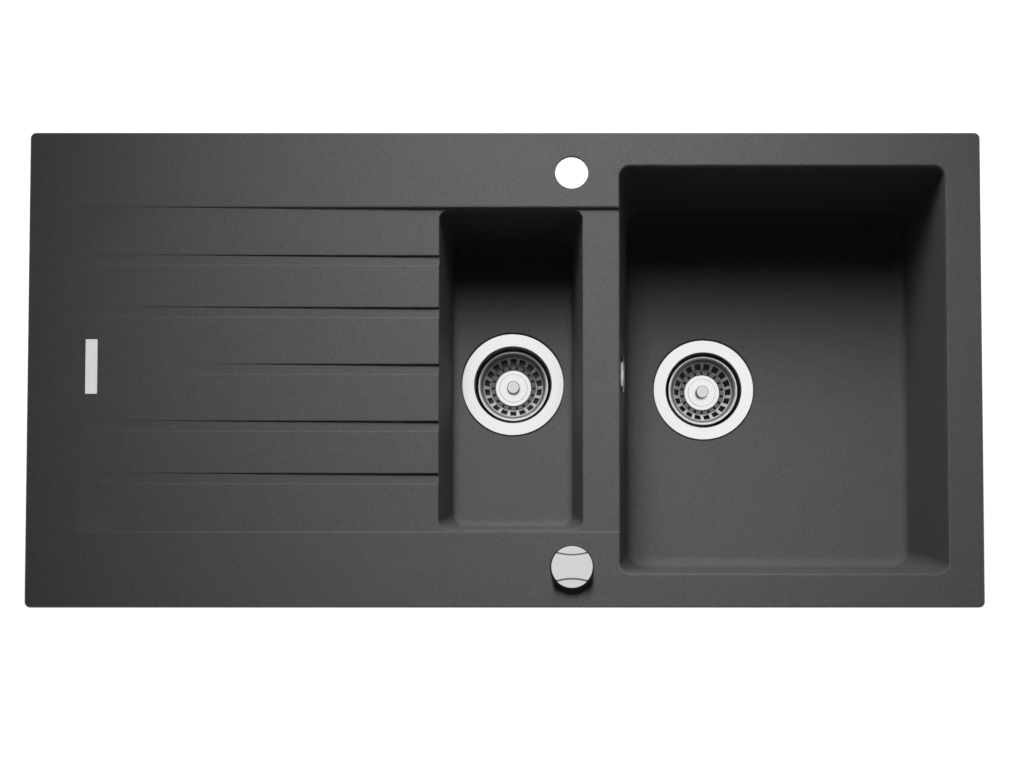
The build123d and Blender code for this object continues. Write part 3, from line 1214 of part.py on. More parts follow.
def lift_pieces():
    return {
        "lift_pin": MAIN_WASTE * lift_pin(),
        "lift_lever": LEVER_PLACE * lift_lever(),
        "lever_shaft": LEVER_PLACE * lever_shaft(),
        "lever_crank": LEVER_PLACE * lever_crank(),
        "shaft_seal": LEVER_PLACE * shaft_seal(),
        "lever_housing": LEVER_PLACE * lever_housing(),
        "lever_housing_cover": LEVER_PLACE * lever_housing_cover(),
        "cover_screws": Compound([LEVER_PLACE * screw for screw in cover_screws()]),
    }


def overflow_pieces():
    lower_end = Pos(INLET_END_X, 0, INLET_Z) * Rot(0, 90, 0)
    return {
        "overflow_rosette": OVERFLOW_WALL * overflow_rosette(),
        "overflow_seal": OVERFLOW_WALL * overflow_seal(),
        "overflow_elbow": overflow_elbow(),
        "overflow_pipe": overflow_pipe(),
        "upper_overflow_nut": Pos(PIPE_X, 0, ELBOW_SPIGOT_END_Z) * compression_nut(),
        "lower_overflow_nut": lower_end * compression_nut(),
    }


def control_pieces():
    return {
        "control_knob": CONTROL * control_knob(),
        "knob_grub_screw": CONTROL * knob_grub_screw(),
        "control_spindle": CONTROL * control_spindle(),
        "cable_cam": CONTROL * cable_cam(),
        "control_seal": CONTROL * control_seal(),
        "control_bush": CONTROL * control_bush(),
        "control_washer": CONTROL * control_washer(),
        "control_nut": CONTROL * control_nut(),
        "cam_housing": CONTROL * cam_housing(),
        "cam_housing_cover": CONTROL * cam_housing_cover(),
        "cable_sheath": cable_sheath(),
        "cable_ferrules": Compound(cable_ferrules()),
    }


def claw_pieces():
    pieces = {"claw_plugs": Compound(claw_plugs()), "claw_screws": Compound(claw_screws())}
    for name, (x, y, outward) in claw_places().items():
        pieces[name] = Pos(x, y, 0) * Rot(0, 0, outward + 90) * claw()
    return pieces


def sink_pieces():
    pieces = {
        "sink_body": Compound(sink_body()),
        "rim_seal": rim_ring(RIM_SEAL_WIDTH - 2 * SLIP_FIT, RIM_SEAL_DEPTH),
        "badge_plate": badge_plate(),
        "main_waste_body": MAIN_WASTE * chamber_and_outlet(main_waste_body()),
        "main_clamp_screw": MAIN_WASTE * clamp_screw(PIN_RADIUS + RUNNING_FIT),
        "small_waste_body": SMALL_WASTE * chamber_and_outlet(waste_body()),
        "small_clamp_screw": SMALL_WASTE * clamp_screw(),
    }
    pieces.update(waste_pieces("main", MAIN_WASTE, RAISED_BASKET))
    pieces.update(waste_pieces("small", SMALL_WASTE, SMALL_WASTE))
    pieces.update(lift_pieces())
    pieces.update(overflow_pieces())
    pieces.update(control_pieces())
    pieces.update(claw_pieces())
    return pieces


os.makedirs("parts", exist_ok=True)
for node, piece in sink_pieces().items():
    export_step(piece, "parts/" + node + ".step")
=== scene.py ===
import json
import math

import bmesh
import bpy
from mathutils import Matrix, Vector

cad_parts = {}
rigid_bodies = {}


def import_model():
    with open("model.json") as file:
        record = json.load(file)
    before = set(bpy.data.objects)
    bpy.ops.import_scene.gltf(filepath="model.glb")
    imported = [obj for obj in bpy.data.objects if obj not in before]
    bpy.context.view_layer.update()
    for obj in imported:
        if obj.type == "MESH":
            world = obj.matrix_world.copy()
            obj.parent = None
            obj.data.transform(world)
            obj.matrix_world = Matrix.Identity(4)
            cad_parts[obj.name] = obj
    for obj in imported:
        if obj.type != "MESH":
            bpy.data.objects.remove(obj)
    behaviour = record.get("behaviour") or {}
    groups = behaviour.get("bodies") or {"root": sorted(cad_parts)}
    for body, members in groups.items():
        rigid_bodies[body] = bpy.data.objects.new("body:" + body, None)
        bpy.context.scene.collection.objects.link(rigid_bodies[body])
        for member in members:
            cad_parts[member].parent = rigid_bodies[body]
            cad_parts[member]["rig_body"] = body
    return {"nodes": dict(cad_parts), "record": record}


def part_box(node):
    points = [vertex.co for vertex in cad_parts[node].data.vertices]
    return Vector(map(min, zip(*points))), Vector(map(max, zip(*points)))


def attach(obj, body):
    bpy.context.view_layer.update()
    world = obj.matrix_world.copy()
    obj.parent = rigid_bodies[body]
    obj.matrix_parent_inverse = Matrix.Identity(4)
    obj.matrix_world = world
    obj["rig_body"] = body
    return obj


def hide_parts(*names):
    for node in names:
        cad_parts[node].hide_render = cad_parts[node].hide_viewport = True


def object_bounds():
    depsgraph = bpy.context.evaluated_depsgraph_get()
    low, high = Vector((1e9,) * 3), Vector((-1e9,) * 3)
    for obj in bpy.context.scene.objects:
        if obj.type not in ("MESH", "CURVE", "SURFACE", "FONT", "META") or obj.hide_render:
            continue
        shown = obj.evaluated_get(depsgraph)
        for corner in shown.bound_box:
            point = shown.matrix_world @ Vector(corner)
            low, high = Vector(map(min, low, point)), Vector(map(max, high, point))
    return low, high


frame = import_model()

CAD_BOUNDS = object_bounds()
MM = 0.001

# Camera at the photograph's viewing angle, high above the front edge and looking almost straight down:
# place in metres, tilt in degrees, lens and sensor in millimetres, shift in widths of the frame
CAMERA_PLACE = (0.0476, -0.2918, 2.4102)
CAMERA_TILT = 3.381
CAMERA_LENS = 81.116
CAMERA_SENSOR = 36.0
CAMERA_SHIFT = (-0.0375, 0.125)

# Floor and surroundings: half size in metres, grey, glow where it is seen, and strength of the fill light
FLOOR_HALF_SIZE = 30.0
FLOOR_GREY = 0.4
FLOOR_GLOW = 0.93
WORLD_FILL = 0.005

# Low fill lamps, in metres
LOW_FILL_TARGET = (0, 0, -0.12)
LONG_FILL_SIZE = (2.4, 0.35)
SHORT_FILL_SIZE = (1.6, 0.35)

# Meshes: angles in degrees, distances in metres
SMOOTH_ANGLE = 32.0
FLAT_ANGLE = 0.2
EDGE_ANGLE = 40.0
EDGE_STEPS = 2
MERGE_DISTANCE = 2e-6
SEAM_GRID = 5e-6

# Control points of the control cable's line, in millimetres, and its size in metres
CABLE_POINTS = (
    (38, -219, -34),
    (7, -219, -34),
    (-24, -217, -50),
    (-38, -213, -82),
    (-34, -207, -120),
    (-14, -199, -158),
    (18, -186, -195),
    (58, -166, -228),
    (104, -140, -254),
    (146, -108, -273),
    (171, -82, -284),
    (190.66, -62.75, -288.8),
    (216.66, -62.75, -288.8),
)
CABLE_DIAMETER = 0.005
CABLE_ORDER = 3
CABLE_LINE_STEPS = 16
CABLE_ROUND_STEPS = 6

# Fixing screws: six-sided head, shank with its thread, in metres, and the head's turn in degrees
SCREW_HEAD_SIDES = 6
SCREW_HEAD_TURN = 30.0
SCREW_HEAD_RADIUS = 0.0046
SCREW_HEAD_HEIGHT = 0.0035
SCREW_HEAD_CHAMFER = 0.0005
SCREW_CREST_RADIUS = 0.0025
SCREW_ROOT_RADIUS = 0.0021
SCREW_PITCH = 0.0008
SCREW_STEPS = 24

# Section of the screws' thread, as radius and share of the pitch
SCREW_PROFILE = (
    (SCREW_ROOT_RADIUS, 0.0),
    (SCREW_CREST_RADIUS, 0.3),
    (SCREW_ROOT_RADIUS, 0.6),
)

# Outlet threads of the waste bodies, in metres
OUTLET_PITCH = 0.0023
OUTLET_HEIGHT = 0.021
OUTLET_THREAD_DEPTH = 0.0006

# Strainer baskets, in metres and degrees: half section of the sheet from the bore to the wall's top, as
# radius and height above the floor, then the rolled rim; windows and floor holes are left out of the sheet
BASKET_SHEET = 0.0008
BASKET_SECTION = (
    (0.0033, 0.0004),
    (0.0208, 0.0004),
    (0.0243, 0.0004),
    (0.0249, 0.0004),
    (0.0257, 0.0008),
    (0.0262, 0.0016),
    (0.0325, 0.0124),
    (0.0331, 0.0136),
    (0.0341, 0.0152),
)
BASKET_HOLE_STRIP = (0.0208, 0.0243)
BASKET_WINDOW_STRIP = (0.0262, 0.0325)
BASKET_RIM_TUBE = 0.0011
BASKET_RIM_ROLL = (180, -70)
BASKET_RIM_STEPS = 10
BASKET_TURNS = {"main_basket": 10.0, "small_basket": 0.0}

# Steps of the spun sheet: those of each window, and which of them lie on the spoke beside it
BASKET_WINDOWS = 18
WINDOW_STEPS = 6
SPOKE_STEPS = (0, 5)
BASKET_STEPS = BASKET_WINDOWS * WINDOW_STEPS

# Shares of the baskets' tone at heights above the floor: painted shade on the floor, bright spokes,
# painted dark reflection of the cup on the shoulder, and bright rim
BASKET_PAINTED_SHADE = (
    (0.0009, 0.14),
    (0.0013, 1.0),
    (0.0135, 1.0),
    (0.0155, 0.3),
    (0.0206, 0.3),
    (0.0214, 1.0),
)

# Shares of the flange cups' tone at heights from their top: painted shade inside the cup, bright lip
FLANGE_PAINTED_SHADE = (
    (-0.013, 0.05),
    (-0.008, 1.0),
)

# Width in metres of the worn-round edges of nodes with sharp outlines
SOFT_EDGES = {
    "badge_plate": 0.00025,
    "cam_housing": 0.0005,
    "lever_housing": 0.0005,
    "control_nut": 0.0004,
    "upper_overflow_nut": 0.0004,
    "lower_overflow_nut": 0.0004,
    "cover_screws": 0.0002,
    "cable_ferrules": 0.0003,
}
CLAW_EDGE = 0.0004

# Range that holds most of a noise texture's values
NOISE_LOW = 0.3
NOISE_HIGH = 0.7

# Upward share of the normal on faces that count as steep and as level
STEEP_FACE = 0.55
LEVEL_FACE = 0.95

# Share of the mottle beside the grains in the stone composite
MOTTLE_SHARE = 0.35


def shade(grey, tint=(1, 1, 1)):
    """Colour of a grey level, or a colour scaled by a share."""
    return tuple(grey * part for part in tint)


COMPOSITE_TINT = (1.0, 0.995, 0.965)
SATIN_STEEL = shade(0.66, (1, 0.995, 0.98))
POLISHED_STEEL = shade(0.68, (1, 0.995, 0.985))
PLAIN_STEEL = shade(0.55, (1, 0.99, 0.97))
SPINDLE_BRASS = (0.68, 0.5, 0.22)
ZINC_GREY = (0.56, 0.585, 0.61)
WASTE_WHITE = (0.62, 0.617, 0.605)
RUBBER_BLACK = shade(0.022)
PLASTIC_BLACK = shade(0.035)
CABLE_BLACK = shade(0.03)


# Shader nodes


def add_node(tree, kind, **values):
    """New node with attributes and input values set by name."""
    node = tree.nodes.new("ShaderNode" + kind)
    for name, value in values.items():
        if name in node.inputs:
            node.inputs[name].default_value = value
        else:
            setattr(node, name, value)
    return node


def new_finish(name, **values):
    """Material with a Principled shader; returns material, node tree and shader."""
    material = bpy.data.materials.new(name)
    material.use_nodes = True
    tree = material.node_tree
    shader = tree.nodes["Principled BSDF"]
    for socket, value in values.items():
        shader.inputs[socket.replace("_", " ")].default_value = value
    return material, tree, shader


def object_point(tree, place=(0, 0, 0), stretch=(1, 1, 1)):
    """Object coordinates about a place, stretched along the axes."""
    coordinates = add_node(tree, "TexCoord")
    mapping = add_node(tree, "Mapping", vector_type="TEXTURE", Location=place, Scale=stretch)
    tree.links.new(coordinates.outputs["Object"], mapping.inputs["Vector"])
    return mapping.outputs["Vector"]


def noise(tree, point, scale, detail, roughness):
    """Value of a noise texture at a point."""
    texture = add_node(tree, "TexNoise", Scale=scale, Detail=detail, Roughness=roughness)
    tree.links.new(point, texture.inputs["Vector"])
    return texture.outputs["Fac"]


def remap(tree, value, low, high, start=NOISE_LOW, stop=NOISE_HIGH):
    """The value's range from start to stop, spread between low and high."""
    node = add_node(tree, "MapRange")
    tree.links.new(value, node.inputs["Value"])
    node.inputs["From Min"].default_value = start
    node.inputs["From Max"].default_value = stop
    node.inputs["To Min"].default_value = low
    node.inputs["To Max"].default_value = high
    return node.outputs["Result"]


def colours(tree, value, stops):
    """Colour ramp through (position, colour) stops."""
    ramp = add_node(tree, "ValToRGB")
    elements = ramp.color_ramp.elements
    while len(elements) < len(stops):
        elements.new(0.5)
    for element, (position, colour) in zip(elements, stops):
        element.position = position
        element.color = (*colour, 1)
    tree.links.new(value, ramp.inputs["Fac"])
    return ramp.outputs["Color"]


def clouded(tree, value, colour, dark, light):
    """The colour between a dark and a light share, by a noise value."""
    return colours(tree, value, [(NOISE_LOW, shade(dark, colour)), (NOISE_HIGH, shade(light, colour))])


def bump(tree, shader, value, strength, distance):
    """Bump in the shader's surface; returns its node."""
    node = add_node(tree, "Bump", Strength=strength, Distance=distance)
    tree.links.new(value, node.inputs["Height"])
    tree.links.new(node.outputs["Normal"], shader.inputs["Normal"])
    return node


def height_of(tree, point):
    """Upward part of a point or a direction."""
    parts = add_node(tree, "SeparateXYZ")
    tree.links.new(point, parts.inputs["Vector"])
    return parts.outputs["Z"]


def product(tree, first, second):
    """Product of two values."""
    node = add_node(tree, "Math", operation="MULTIPLY")
    tree.links.new(first, node.inputs[0])
    tree.links.new(second, node.inputs[1])
    return node.outputs["Value"]


def tinted(tree, colour, value):
    """The colour scaled by a value."""
    node = add_node(tree, "VectorMath", operation="SCALE")
    tree.links.new(colour, node.inputs[0])
    tree.links.new(value, node.inputs["Scale"])
    return node.outputs["Vector"]


def painted_dark_sides(tree, tone, share):
    """The tone, cut to the share on steep faces: a painted dark reflection of the dark surroundings they
    mirror.
    """
    facing = add_node(tree, "NewGeometry")
    upward = height_of(tree, facing.outputs["Normal"])
    return tinted(tree, tone, remap(tree, upward, share, 1.0, start=STEEP_FACE, stop=LEVEL_FACE))


def share_by_height(tree, stops):
    """Grey share between (height, share) stops."""
    low, high = stops[0][0], stops[-1][0]
    level = remap(tree, height_of(tree, object_point(tree)), 0.0, 1.0, start=low, stop=high)
    return colours(tree, level, [((stop - low) / (high - low), shade(share)) for stop, share in stops])


def screw_thread(tree, place, low, high, pitch):
    """Height of a thread about an upright axis, between two heights."""
    parts = add_node(tree, "SeparateXYZ")
    tree.links.new(object_point(tree, place), parts.inputs["Vector"])
    angle = add_node(tree, "Math", operation="ARCTAN2")
    tree.links.new(parts.outputs["Y"], angle.inputs[0])
    tree.links.new(parts.outputs["X"], angle.inputs[1])
    rise = add_node(tree, "Math", operation="MULTIPLY_ADD")
    tree.links.new(parts.outputs["Z"], rise.inputs[0])
    rise.inputs[1].default_value = math.tau / pitch
    tree.links.new(angle.outputs["Value"], rise.inputs[2])
    wave = add_node(tree, "Math", operation="SINE")
    tree.links.new(rise.outputs["Value"], wave.inputs[0])
    level = height_of(tree, object_point(tree))
    above = remap(tree, level, 0.0, 1.0, start=low, stop=low + pitch)
    below = remap(tree, level, 1.0, 0.0, start=high - pitch, stop=high)
    return product(tree, wave.outputs["Value"], product(tree, above, below))


# Finishes


def composite_finish():
    """Dark stone composite: fine grains of quartz in resin, dull, with a faint mottle."""
    material, tree, shader = new_finish("stone_composite", Specular_IOR_Level=0.05)
    point = object_point(tree)
    grains = add_node(tree, "TexVoronoi", Scale=900.0, Randomness=1.0)
    tree.links.new(point, grains.inputs["Vector"])
    grain_tone = add_node(tree, "RGBToBW")
    tree.links.new(grains.outputs["Color"], grain_tone.inputs["Color"])
    mottle = noise(tree, point, scale=26.0, detail=4.0, roughness=0.6)
    blend = add_node(tree, "Math", operation="MULTIPLY_ADD")
    tree.links.new(mottle, blend.inputs[0])
    blend.inputs[1].default_value = MOTTLE_SHARE
    tree.links.new(grain_tone.outputs["Val"], blend.inputs[2])
    stops = [
        (0.25, shade(0.086, COMPOSITE_TINT)),
        (0.62, shade(0.095, COMPOSITE_TINT)),
        (0.9, shade(0.107, COMPOSITE_TINT)),
    ]
    tree.links.new(colours(tree, blend.outputs["Value"], stops), shader.inputs["Base Color"])
    fine = noise(tree, point, scale=700.0, detail=3.0, roughness=0.6)
    tree.links.new(remap(tree, fine, low=0.5, high=0.62), shader.inputs["Roughness"])
    bump(tree, shader, fine, strength=0.06, distance=0.0002)
    return material


def turned_steel(name, place, grey, roughness, ring_scale=2200.0, height_shade=None, steep_shade=0.3, metallic=1.0):
    """Steel with fine rings about an upright axis; the height stops give painted shade as shares of the
    tone at rising heights, and steep faces get a painted dark reflection cut to a share.
    """
    material, tree, shader = new_finish(name, Metallic=metallic)
    point = object_point(tree, place)
    flat = add_node(tree, "VectorMath", operation="MULTIPLY")
    tree.links.new(point, flat.inputs[0])
    flat.inputs[1].default_value = (1, 1, 0)
    radius = add_node(tree, "VectorMath", operation="LENGTH")
    tree.links.new(flat.outputs["Vector"], radius.inputs[0])
    rings = add_node(tree, "TexNoise", noise_dimensions="1D", Scale=ring_scale, Detail=2.0)
    tree.links.new(radius.outputs["Value"], rings.inputs["W"])
    tone = clouded(tree, rings.outputs["Fac"], shade(grey), dark=0.95, light=1.04)
    # Painted shade: the tone is cut by height, darker deep inside the cup and basket
    if height_shade:
        tone = tinted(tree, tone, share_by_height(tree, height_shade))
    # Painted dark reflection: steep faces get a darker tone
    tree.links.new(painted_dark_sides(tree, tone, steep_shade), shader.inputs["Base Color"])
    spread = remap(tree, rings.outputs["Fac"], low=roughness * 0.85, high=roughness * 1.2)
    tree.links.new(spread, shader.inputs["Roughness"])
    bump(tree, shader, rings.outputs["Fac"], strength=0.06, distance=0.0001)
    return material


def plain_metal(name, colour, roughness, scale=420.0, stretch=(1, 1, 1)):
    """Metal with a fine, slightly cloudy surface, drawn out along an axis by the stretch."""
    material, tree, shader = new_finish(name, Metallic=1.0)
    point = object_point(tree, stretch=stretch)
    fine = noise(tree, point, scale, detail=4.0, roughness=0.6)
    tree.links.new(clouded(tree, fine, colour, dark=0.93, light=1.03), shader.inputs["Base Color"])
    spread = remap(tree, fine, low=roughness * 0.8, high=roughness * 1.25)
    tree.links.new(spread, shader.inputs["Roughness"])
    bump(tree, shader, fine, strength=0.05, distance=0.0001)
    return material


def moulded_finish(name, colour, roughness, grain=650.0, thread=None):
    """Moulded plastic or rubber with a fine eroded grain; thread is (place, low, high, pitch)."""
    material, tree, shader = new_finish(name, Specular_IOR_Level=0.4)
    point = object_point(tree)
    fine = noise(tree, point, grain, detail=3.0, roughness=0.55)
    cloud = noise(tree, point, scale=35.0, detail=3.0, roughness=0.5)
    tree.links.new(clouded(tree, cloud, colour, dark=0.9, light=1.08), shader.inputs["Base Color"])
    spread = remap(tree, fine, low=roughness * 0.85, high=roughness * 1.15)
    tree.links.new(spread, shader.inputs["Roughness"])
    grains = bump(tree, shader, fine, strength=0.15, distance=0.00015)
    if thread:
        ridge = add_node(tree, "Bump", Strength=1.0, Distance=OUTLET_THREAD_DEPTH)
        tree.links.new(screw_thread(tree, *thread), ridge.inputs["Height"])
        tree.links.new(ridge.outputs["Normal"], grains.inputs["Normal"])
    return material


def middle_of(node):
    """Centre of a round node, for rings about its axis."""
    low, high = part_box(node)
    return (low + high) / 2


def slot_finishes():
    """Finish of each material slot."""
    return {
        "composite": composite_finish(),
        "satin_steel": plain_metal("satin_steel", SATIN_STEEL, roughness=0.28, stretch=(1, 12, 1)),
        "polished_steel": plain_metal("polished_steel", POLISHED_STEEL, roughness=0.22),
        "plain_steel": plain_metal("plain_steel", PLAIN_STEEL, roughness=0.3),
        "spindle_brass": plain_metal("spindle_brass", SPINDLE_BRASS, roughness=0.28),
        "zinc_steel": plain_metal("zinc_steel", ZINC_GREY, roughness=0.36, scale=160.0),
        "rubber": moulded_finish("seal_rubber", RUBBER_BLACK, roughness=0.7),
        "waste_plastic": moulded_finish("waste_plastic", WASTE_WHITE, roughness=0.42),
        "black_plastic": moulded_finish("black_plastic", PLASTIC_BLACK, roughness=0.45),
        "cable_plastic": moulded_finish("cable_plastic", CABLE_BLACK, roughness=0.35, grain=1400.0),
    }


def waste_finishes(name):
    """Finishes of one waste's nodes that have rings, painted shade by height or a thread of their own."""
    flange = name + "_flange_cup"
    basket = name + "_basket"
    body = name + "_waste_body"
    place = middle_of(flange)
    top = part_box(flange)[1].z
    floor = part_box(basket)[0].z
    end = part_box(body)[0].z
    # Painted shade deep in the flange cup and on the basket's floor, painted dark reflection on the
    # basket's shoulder
    cup_shade = [(top + rise, share) for rise, share in FLANGE_PAINTED_SHADE]
    basket_shade = [(floor + rise, share) for rise, share in BASKET_PAINTED_SHADE]
    thread = (place, end, end + OUTLET_HEIGHT, OUTLET_PITCH)
    return {
        # Steep faces of the flange, disc and post are darkened as painted dark reflection; the basket's
        # are not
        flange: turned_steel(name + "_turned_flange", place, grey=0.88, roughness=0.24, height_shade=cup_shade),
        basket + "_disc": turned_steel(name + "_turned_disc", place, grey=0.86, roughness=0.2, steep_shade=0.1),
        basket + "_post": turned_steel(name + "_turned_post", place, grey=0.68, roughness=0.2, steep_shade=0.1),
        basket: turned_steel(
            name + "_basket_steel", place, grey=0.94, roughness=0.25, height_shade=basket_shade, steep_shade=1.0, metallic=0.4
        ),
        body: moulded_finish(name + "_waste_plastic", WASTE_WHITE, roughness=0.42, thread=thread),
    }


def node_finishes():
    """Finishes of single nodes, which go before those of their slots."""
    knob = "control_knob"
    return {
        **waste_finishes("main"),
        **waste_finishes("small"),
        # The knob's steep sides are darkened as painted dark reflection
        knob: turned_steel(
            "turned_knob", middle_of(knob), grey=0.65, roughness=0.2, ring_scale=1500.0, steep_shade=0.18
        ),
    }


# Pieces


def add_object(name, data):
    """New object in the scene, with its data."""
    thing = bpy.data.objects.new(name, data)
    bpy.context.scene.collection.objects.link(thing)
    return thing


def shade_edges(work):
    """Smooth faces, with the real edges kept sharp."""
    for face in work.faces:
        face.smooth = True
    limit = math.radians(SMOOTH_ANGLE)
    for edge in work.edges:
        edge.smooth = len(edge.link_faces) == 2 and edge.calc_face_angle() < limit


def new_piece(name, work, soft_edge=0.0, sheet=0.0):
    """Object from a bmesh, with the given sheet thickness and width of rounded edges."""
    shade_edges(work)
    mesh = bpy.data.meshes.new(name)
    work.to_mesh(mesh)
    work.free()
    piece = add_object(name, mesh)
    if sheet:
        wall = piece.modifiers.new("sheet_thickness", "SOLIDIFY")
        wall.thickness = sheet
        wall.offset = 0.0
        wall.use_even_offset = True
    if soft_edge:
        bevel = piece.modifiers.new("worn_edges", "BEVEL")
        bevel.width = soft_edge
        bevel.segments = EDGE_STEPS
        bevel.limit_method = "ANGLE"
        bevel.angle_limit = math.radians(EDGE_ANGLE)
    normals = piece.modifiers.new("flat_faces_first", "WEIGHTED_NORMAL")
    normals.keep_sharp = True
    return piece


def seam_faces(work):
    """Pairs of faces that lie on each other where two solids of a node touch."""
    stacks = {}
    for face in work.faces:
        corners = frozenset(tuple(round(part / SEAM_GRID) for part in vert.co) for vert in face.verts)
        if len(corners) == len(face.verts):
            stacks.setdefault(corners, []).append(face)
    return [face for stack in stacks.values() if len(stack) > 1 for face in stack]


def smooth_copy(node, soft_edge):
    """Merged copy of a CAD node without inner seams, smooth except at its real edges, in its place."""
    work = bmesh.new()
    work.from_mesh(frame["nodes"][node].data)
    bmesh.ops.delete(work, geom=seam_faces(work), context="FACES")
    bmesh.ops.remove_doubles(work, verts=work.verts, dist=MERGE_DISTANCE)
    bmesh.ops.dissolve_degenerate(work, edges=work.edges, dist=MERGE_DISTANCE)
    if soft_edge:
        limit = math.radians(FLAT_ANGLE)
        bmesh.ops.dissolve_limit(work, angle_limit=limit, verts=work.verts, edges=work.edges)
    return new_piece(node + "_finished", work, soft_edge)


def cable():
    """Control cable: a smooth line through the air between its two ferrules."""
    curve = bpy.data.curves.new("control_cable", "CURVE")
    curve.dimensions = "3D"
    curve.bevel_depth = CABLE_DIAMETER / 2
    curve.bevel_resolution = CABLE_ROUND_STEPS
    curve.use_fill_caps = True
    line = curve.splines.new("NURBS")
    line.points.add(len(CABLE_POINTS) - 1)
    for point, place in zip(line.points, CABLE_POINTS):
        point.co = (*(Vector(place) * MM), 1)
    line.order_u = CABLE_ORDER
    line.use_endpoint_u = True
    line.resolution_u = CABLE_LINE_STEPS
    return add_object("control_cable", curve)


def spin_line(work, points, angle, steps, rise=0.0, closed=False):
    """Line of points spun about the Z axis, rising at each step; a closed spin joins its two ends."""
    verts = [work.verts.new(point) for point in points]
    edges = [work.edges.new(pair) for pair in zip(verts, verts[1:])]
    bmesh.ops.spin(
        work,
        geom=verts + edges,
        cent=(0, 0, 0),
        axis=(0, 0, 1),
        dvec=(0, 0, rise),
        angle=angle,
        steps=steps,
        use_merge=closed,
    )


def upright_prism(work, low, high, radius, sides, turn=0.0):
    """Closed prism about the Z axis, between two heights."""
    place = Matrix.Translation((0, 0, (low + high) / 2))
    bmesh.ops.create_cone(
        work,
        cap_ends=True,
        segments=sides,
        radius1=radius,
        radius2=radius,
        depth=high - low,
        matrix=place @ Matrix.Rotation(math.radians(turn), 4, "Z"),
    )


def fixing_screws():
    """Screws that carry the claws, with chamfered heads and threads."""
    low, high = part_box("claw_screws")
    head_top = low.z + SCREW_HEAD_HEIGHT
    work = bmesh.new()
    upright_prism(work, low.z, head_top, SCREW_HEAD_RADIUS, SCREW_HEAD_SIDES, SCREW_HEAD_TURN)
    bmesh.ops.bevel(
        work,
        geom=work.edges[:],
        offset=SCREW_HEAD_CHAMFER,
        affect="EDGES",
        segments=EDGE_STEPS,
        profile=0.5,
        material=-1,
    )
    upright_prism(work, head_top, high.z, SCREW_ROOT_RADIUS, SCREW_STEPS)
    thread = [(radius, 0, head_top + share * SCREW_PITCH) for radius, share in SCREW_PROFILE]
    turns = int((high.z - head_top) / SCREW_PITCH) - 1
    spin_line(work, thread, math.tau * turns, SCREW_STEPS * turns, rise=SCREW_PITCH / SCREW_STEPS)
    bmesh.ops.recalc_face_normals(work, faces=work.faces)
    one = bpy.data.meshes.new("fixing_screw")
    work.to_mesh(one)
    work.clear()
    for joint in frame["record"]["behaviour"]["joints"]:
        if joint["name"].endswith("_claw_swing"):
            copy = one.copy()
            copy.transform(Matrix.Translation((joint["pos_m"][0], joint["pos_m"][1], 0)))
            work.from_mesh(copy)
    return new_piece("fixing_screws", work)


def basket_section(low, high):
    """Half section of a basket that fills its node's box, from the bore to the end of the rolled rim."""
    tube = BASKET_RIM_TUBE - BASKET_SHEET / 2
    rim_radius = (high.x - low.x) / 2 - BASKET_RIM_TUBE
    rim_height = high.z - low.z - BASKET_RIM_TUBE
    section = [(radius, 0, rise) for radius, rise in BASKET_SECTION]
    start, stop = BASKET_RIM_ROLL
    for step in range(BASKET_RIM_STEPS + 1):
        angle = math.radians(start + (stop - start) * step / BASKET_RIM_STEPS)
        radius = rim_radius + tube * math.cos(angle)
        rise = rim_height + tube * math.sin(angle)
        section.append((radius, 0, rise))
    return section


def is_open(face):
    """Whether a face of the spun sheet lies in a window or in a floor hole."""
    place = face.calc_center_median()
    turn = math.atan2(place.y, place.x) % math.tau / math.tau
    on_spoke = int(turn * BASKET_STEPS) % WINDOW_STEPS in SPOKE_STEPS
    radius = math.hypot(place.x, place.y)
    strip = BASKET_HOLE_STRIP if on_spoke else BASKET_WINDOW_STRIP
    return strip[0] < radius < strip[1]


def strainer_basket(node):
    """Basket of sheet steel: holed floor, windowed wall, shoulder and rolled rim."""
    low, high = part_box(node)
    work = bmesh.new()
    spin_line(work, basket_section(low, high), math.tau, BASKET_STEPS, closed=True)
    bmesh.ops.delete(work, geom=[face for face in work.faces if is_open(face)], context="FACES")
    bmesh.ops.recalc_face_normals(work, faces=work.faces)
    middle = (low + high) / 2
    place = Matrix.Translation((middle.x, middle.y, low.z))
    turn = Matrix.Rotation(math.radians(BASKET_TURNS[node]), 4, "Z")
    bmesh.ops.transform(work, matrix=place @ turn, verts=work.verts)
    return new_piece(node + "_finished", work, sheet=BASKET_SHEET)


def soft_edge_of(node):
    """Width of a node's worn edges, or 0 where they stay sharp."""
    return CLAW_EDGE if node.endswith("_claw") else SOFT_EDGES.get(node, 0.0)


def dress_nodes():
    """Every CAD node is replaced by its finished piece."""
    by_slot = slot_finishes()
    by_node = node_finishes()
    slots = {part["node"]: part["material_slot"] for part in frame["record"]["subparts"]}
    own_pieces = {"cable_sheath": cable, "claw_screws": fixing_screws}
    for node, source in frame["nodes"].items():
        if node in own_pieces:
            piece = own_pieces[node]()
        elif node in BASKET_TURNS:
            piece = strainer_basket(node)
        else:
            piece = smooth_copy(node, soft_edge_of(node))
        piece.data.materials.clear()
        piece.data.materials.append(by_node.get(node) or by_slot[slots[node]])
        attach(piece, source["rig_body"])
        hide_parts(node)


# Floor, light and camera


def seen_or_mirrored(tree):
    """1 on rays from the camera, from mirrors and through glass, and 0 on the rest."""
    rays = add_node(tree, "LightPath")
    mirrored = add_node(tree, "Math", operation="MAXIMUM")
    tree.links.new(rays.outputs["Is Glossy Ray"], mirrored.inputs[0])
    tree.links.new(rays.outputs["Is Transmission Ray"], mirrored.inputs[1])
    seen = add_node(tree, "Math", operation="MAXIMUM")
    tree.links.new(rays.outputs["Is Camera Ray"], seen.inputs[0])
    tree.links.new(mirrored.outputs["Value"], seen.inputs[1])
    return seen.outputs["Value"]


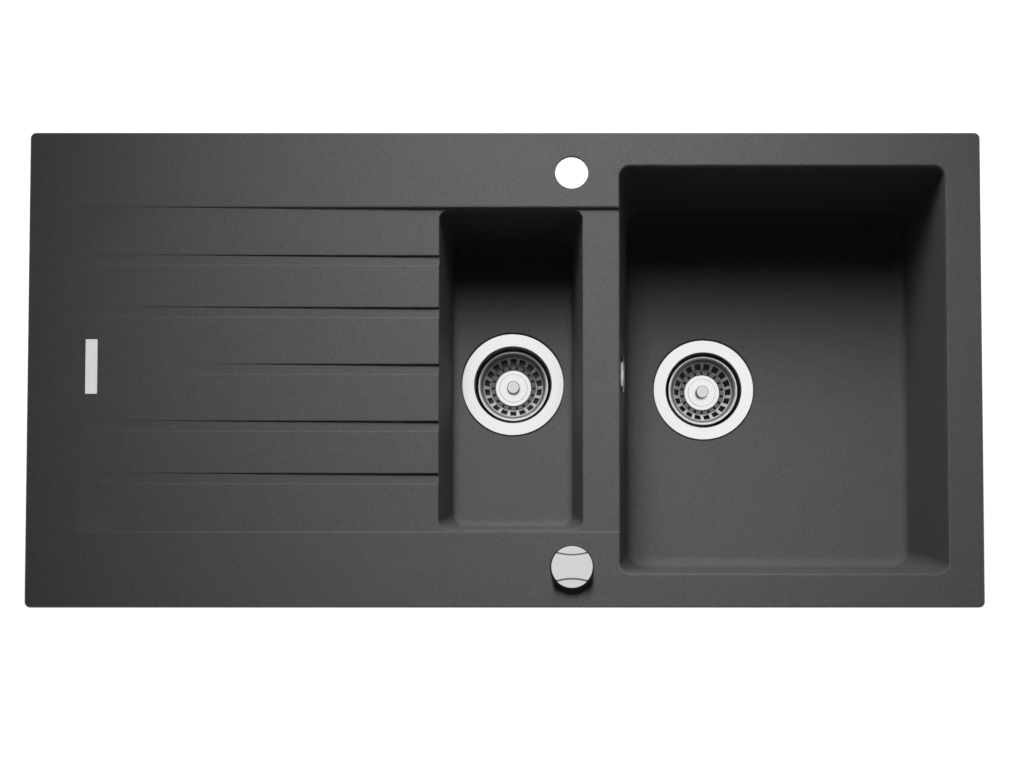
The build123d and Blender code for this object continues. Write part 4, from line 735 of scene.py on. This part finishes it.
def make_floor():
    """Plain pale floor at the level of the object's lowest point."""
    work = bmesh.new()
    bmesh.ops.create_grid(work, x_segments=1, y_segments=1, size=FLOOR_HALF_SIZE)
    mesh = bpy.data.meshes.new("floor")
    work.to_mesh(mesh)
    work.free()
    mesh.transform(Matrix.Translation((0, 0, CAD_BOUNDS[0].z)))
    floor = add_object("floor", mesh)
    material, tree, shader = new_finish("pale_floor", Roughness=0.9, Specular_IOR_Level=0.1)
    shader.inputs["Base Color"].default_value = (*shade(FLOOR_GREY), 1)
    tree.links.new(seen_or_mirrored(tree), shader.inputs["Emission Strength"])
    shader.inputs["Emission Color"].default_value = (*shade(FLOOR_GLOW), 1)
    floor.data.materials.append(material)


def make_world():
    """White where it is seen or mirrored, and a dim fill otherwise."""
    world = bpy.data.worlds.new("studio")
    bpy.context.scene.world = world
    world.use_nodes = True
    tree = world.node_tree
    background = tree.nodes["Background"]
    background.inputs["Color"].default_value = (1, 1, 1, 1)
    strength = remap(tree, seen_or_mirrored(tree), WORLD_FILL, 1.0, start=0.0, stop=1.0)
    tree.links.new(strength, background.inputs["Strength"])


def soft_box(name, place, target, size, power, spread=180.0):
    """Area lamp aimed at a target, and left out of mirrors, which show the white surroundings."""
    lamp = bpy.data.lights.new(name, "AREA")
    lamp.shape = "RECTANGLE"
    lamp.size, lamp.size_y = size
    lamp.energy = power
    lamp.spread = math.radians(spread)
    holder = add_object(name, lamp)
    holder.location = place
    aim = Vector(target) - Vector(place)
    holder.rotation_euler = aim.to_track_quat("-Z", "Y").to_euler()
    holder.visible_glossy = False


def make_lights():
    """Key light from above and behind, and fills around the object for its sides and underside."""
    soft_box("key_softbox", (-0.03, 1.21, 1.34), (0.1, 0.1, 0.0), (0.4, 1.1), power=5.6, spread=52.0)
    soft_box("front_low_fill", (-0.6, -2.2, -0.1), LOW_FILL_TARGET, LONG_FILL_SIZE, power=42.0)
    soft_box("back_low_fill", (0.8, 2.2, -0.1), LOW_FILL_TARGET, LONG_FILL_SIZE, power=34.0)
    soft_box("right_low_fill", (2.2, -0.4, -0.1), LOW_FILL_TARGET, SHORT_FILL_SIZE, power=28.0)
    soft_box("left_low_fill", (-2.2, 0.4, -0.1), LOW_FILL_TARGET, SHORT_FILL_SIZE, power=28.0)


def make_camera():
    """Camera at the photograph's viewing angle."""
    data = bpy.data.cameras.new("photo_camera")
    data.sensor_width = CAMERA_SENSOR
    data.lens = CAMERA_LENS
    data.shift_x, data.shift_y = CAMERA_SHIFT
    camera = add_object("photo_camera", data)
    camera.location = CAMERA_PLACE
    camera.rotation_euler = (math.radians(CAMERA_TILT), 0, 0)
    bpy.context.scene.camera = camera


bpy.context.scene.view_settings.view_transform = "Standard"
dress_nodes()
make_floor()
make_world()
make_lights()
make_camera()
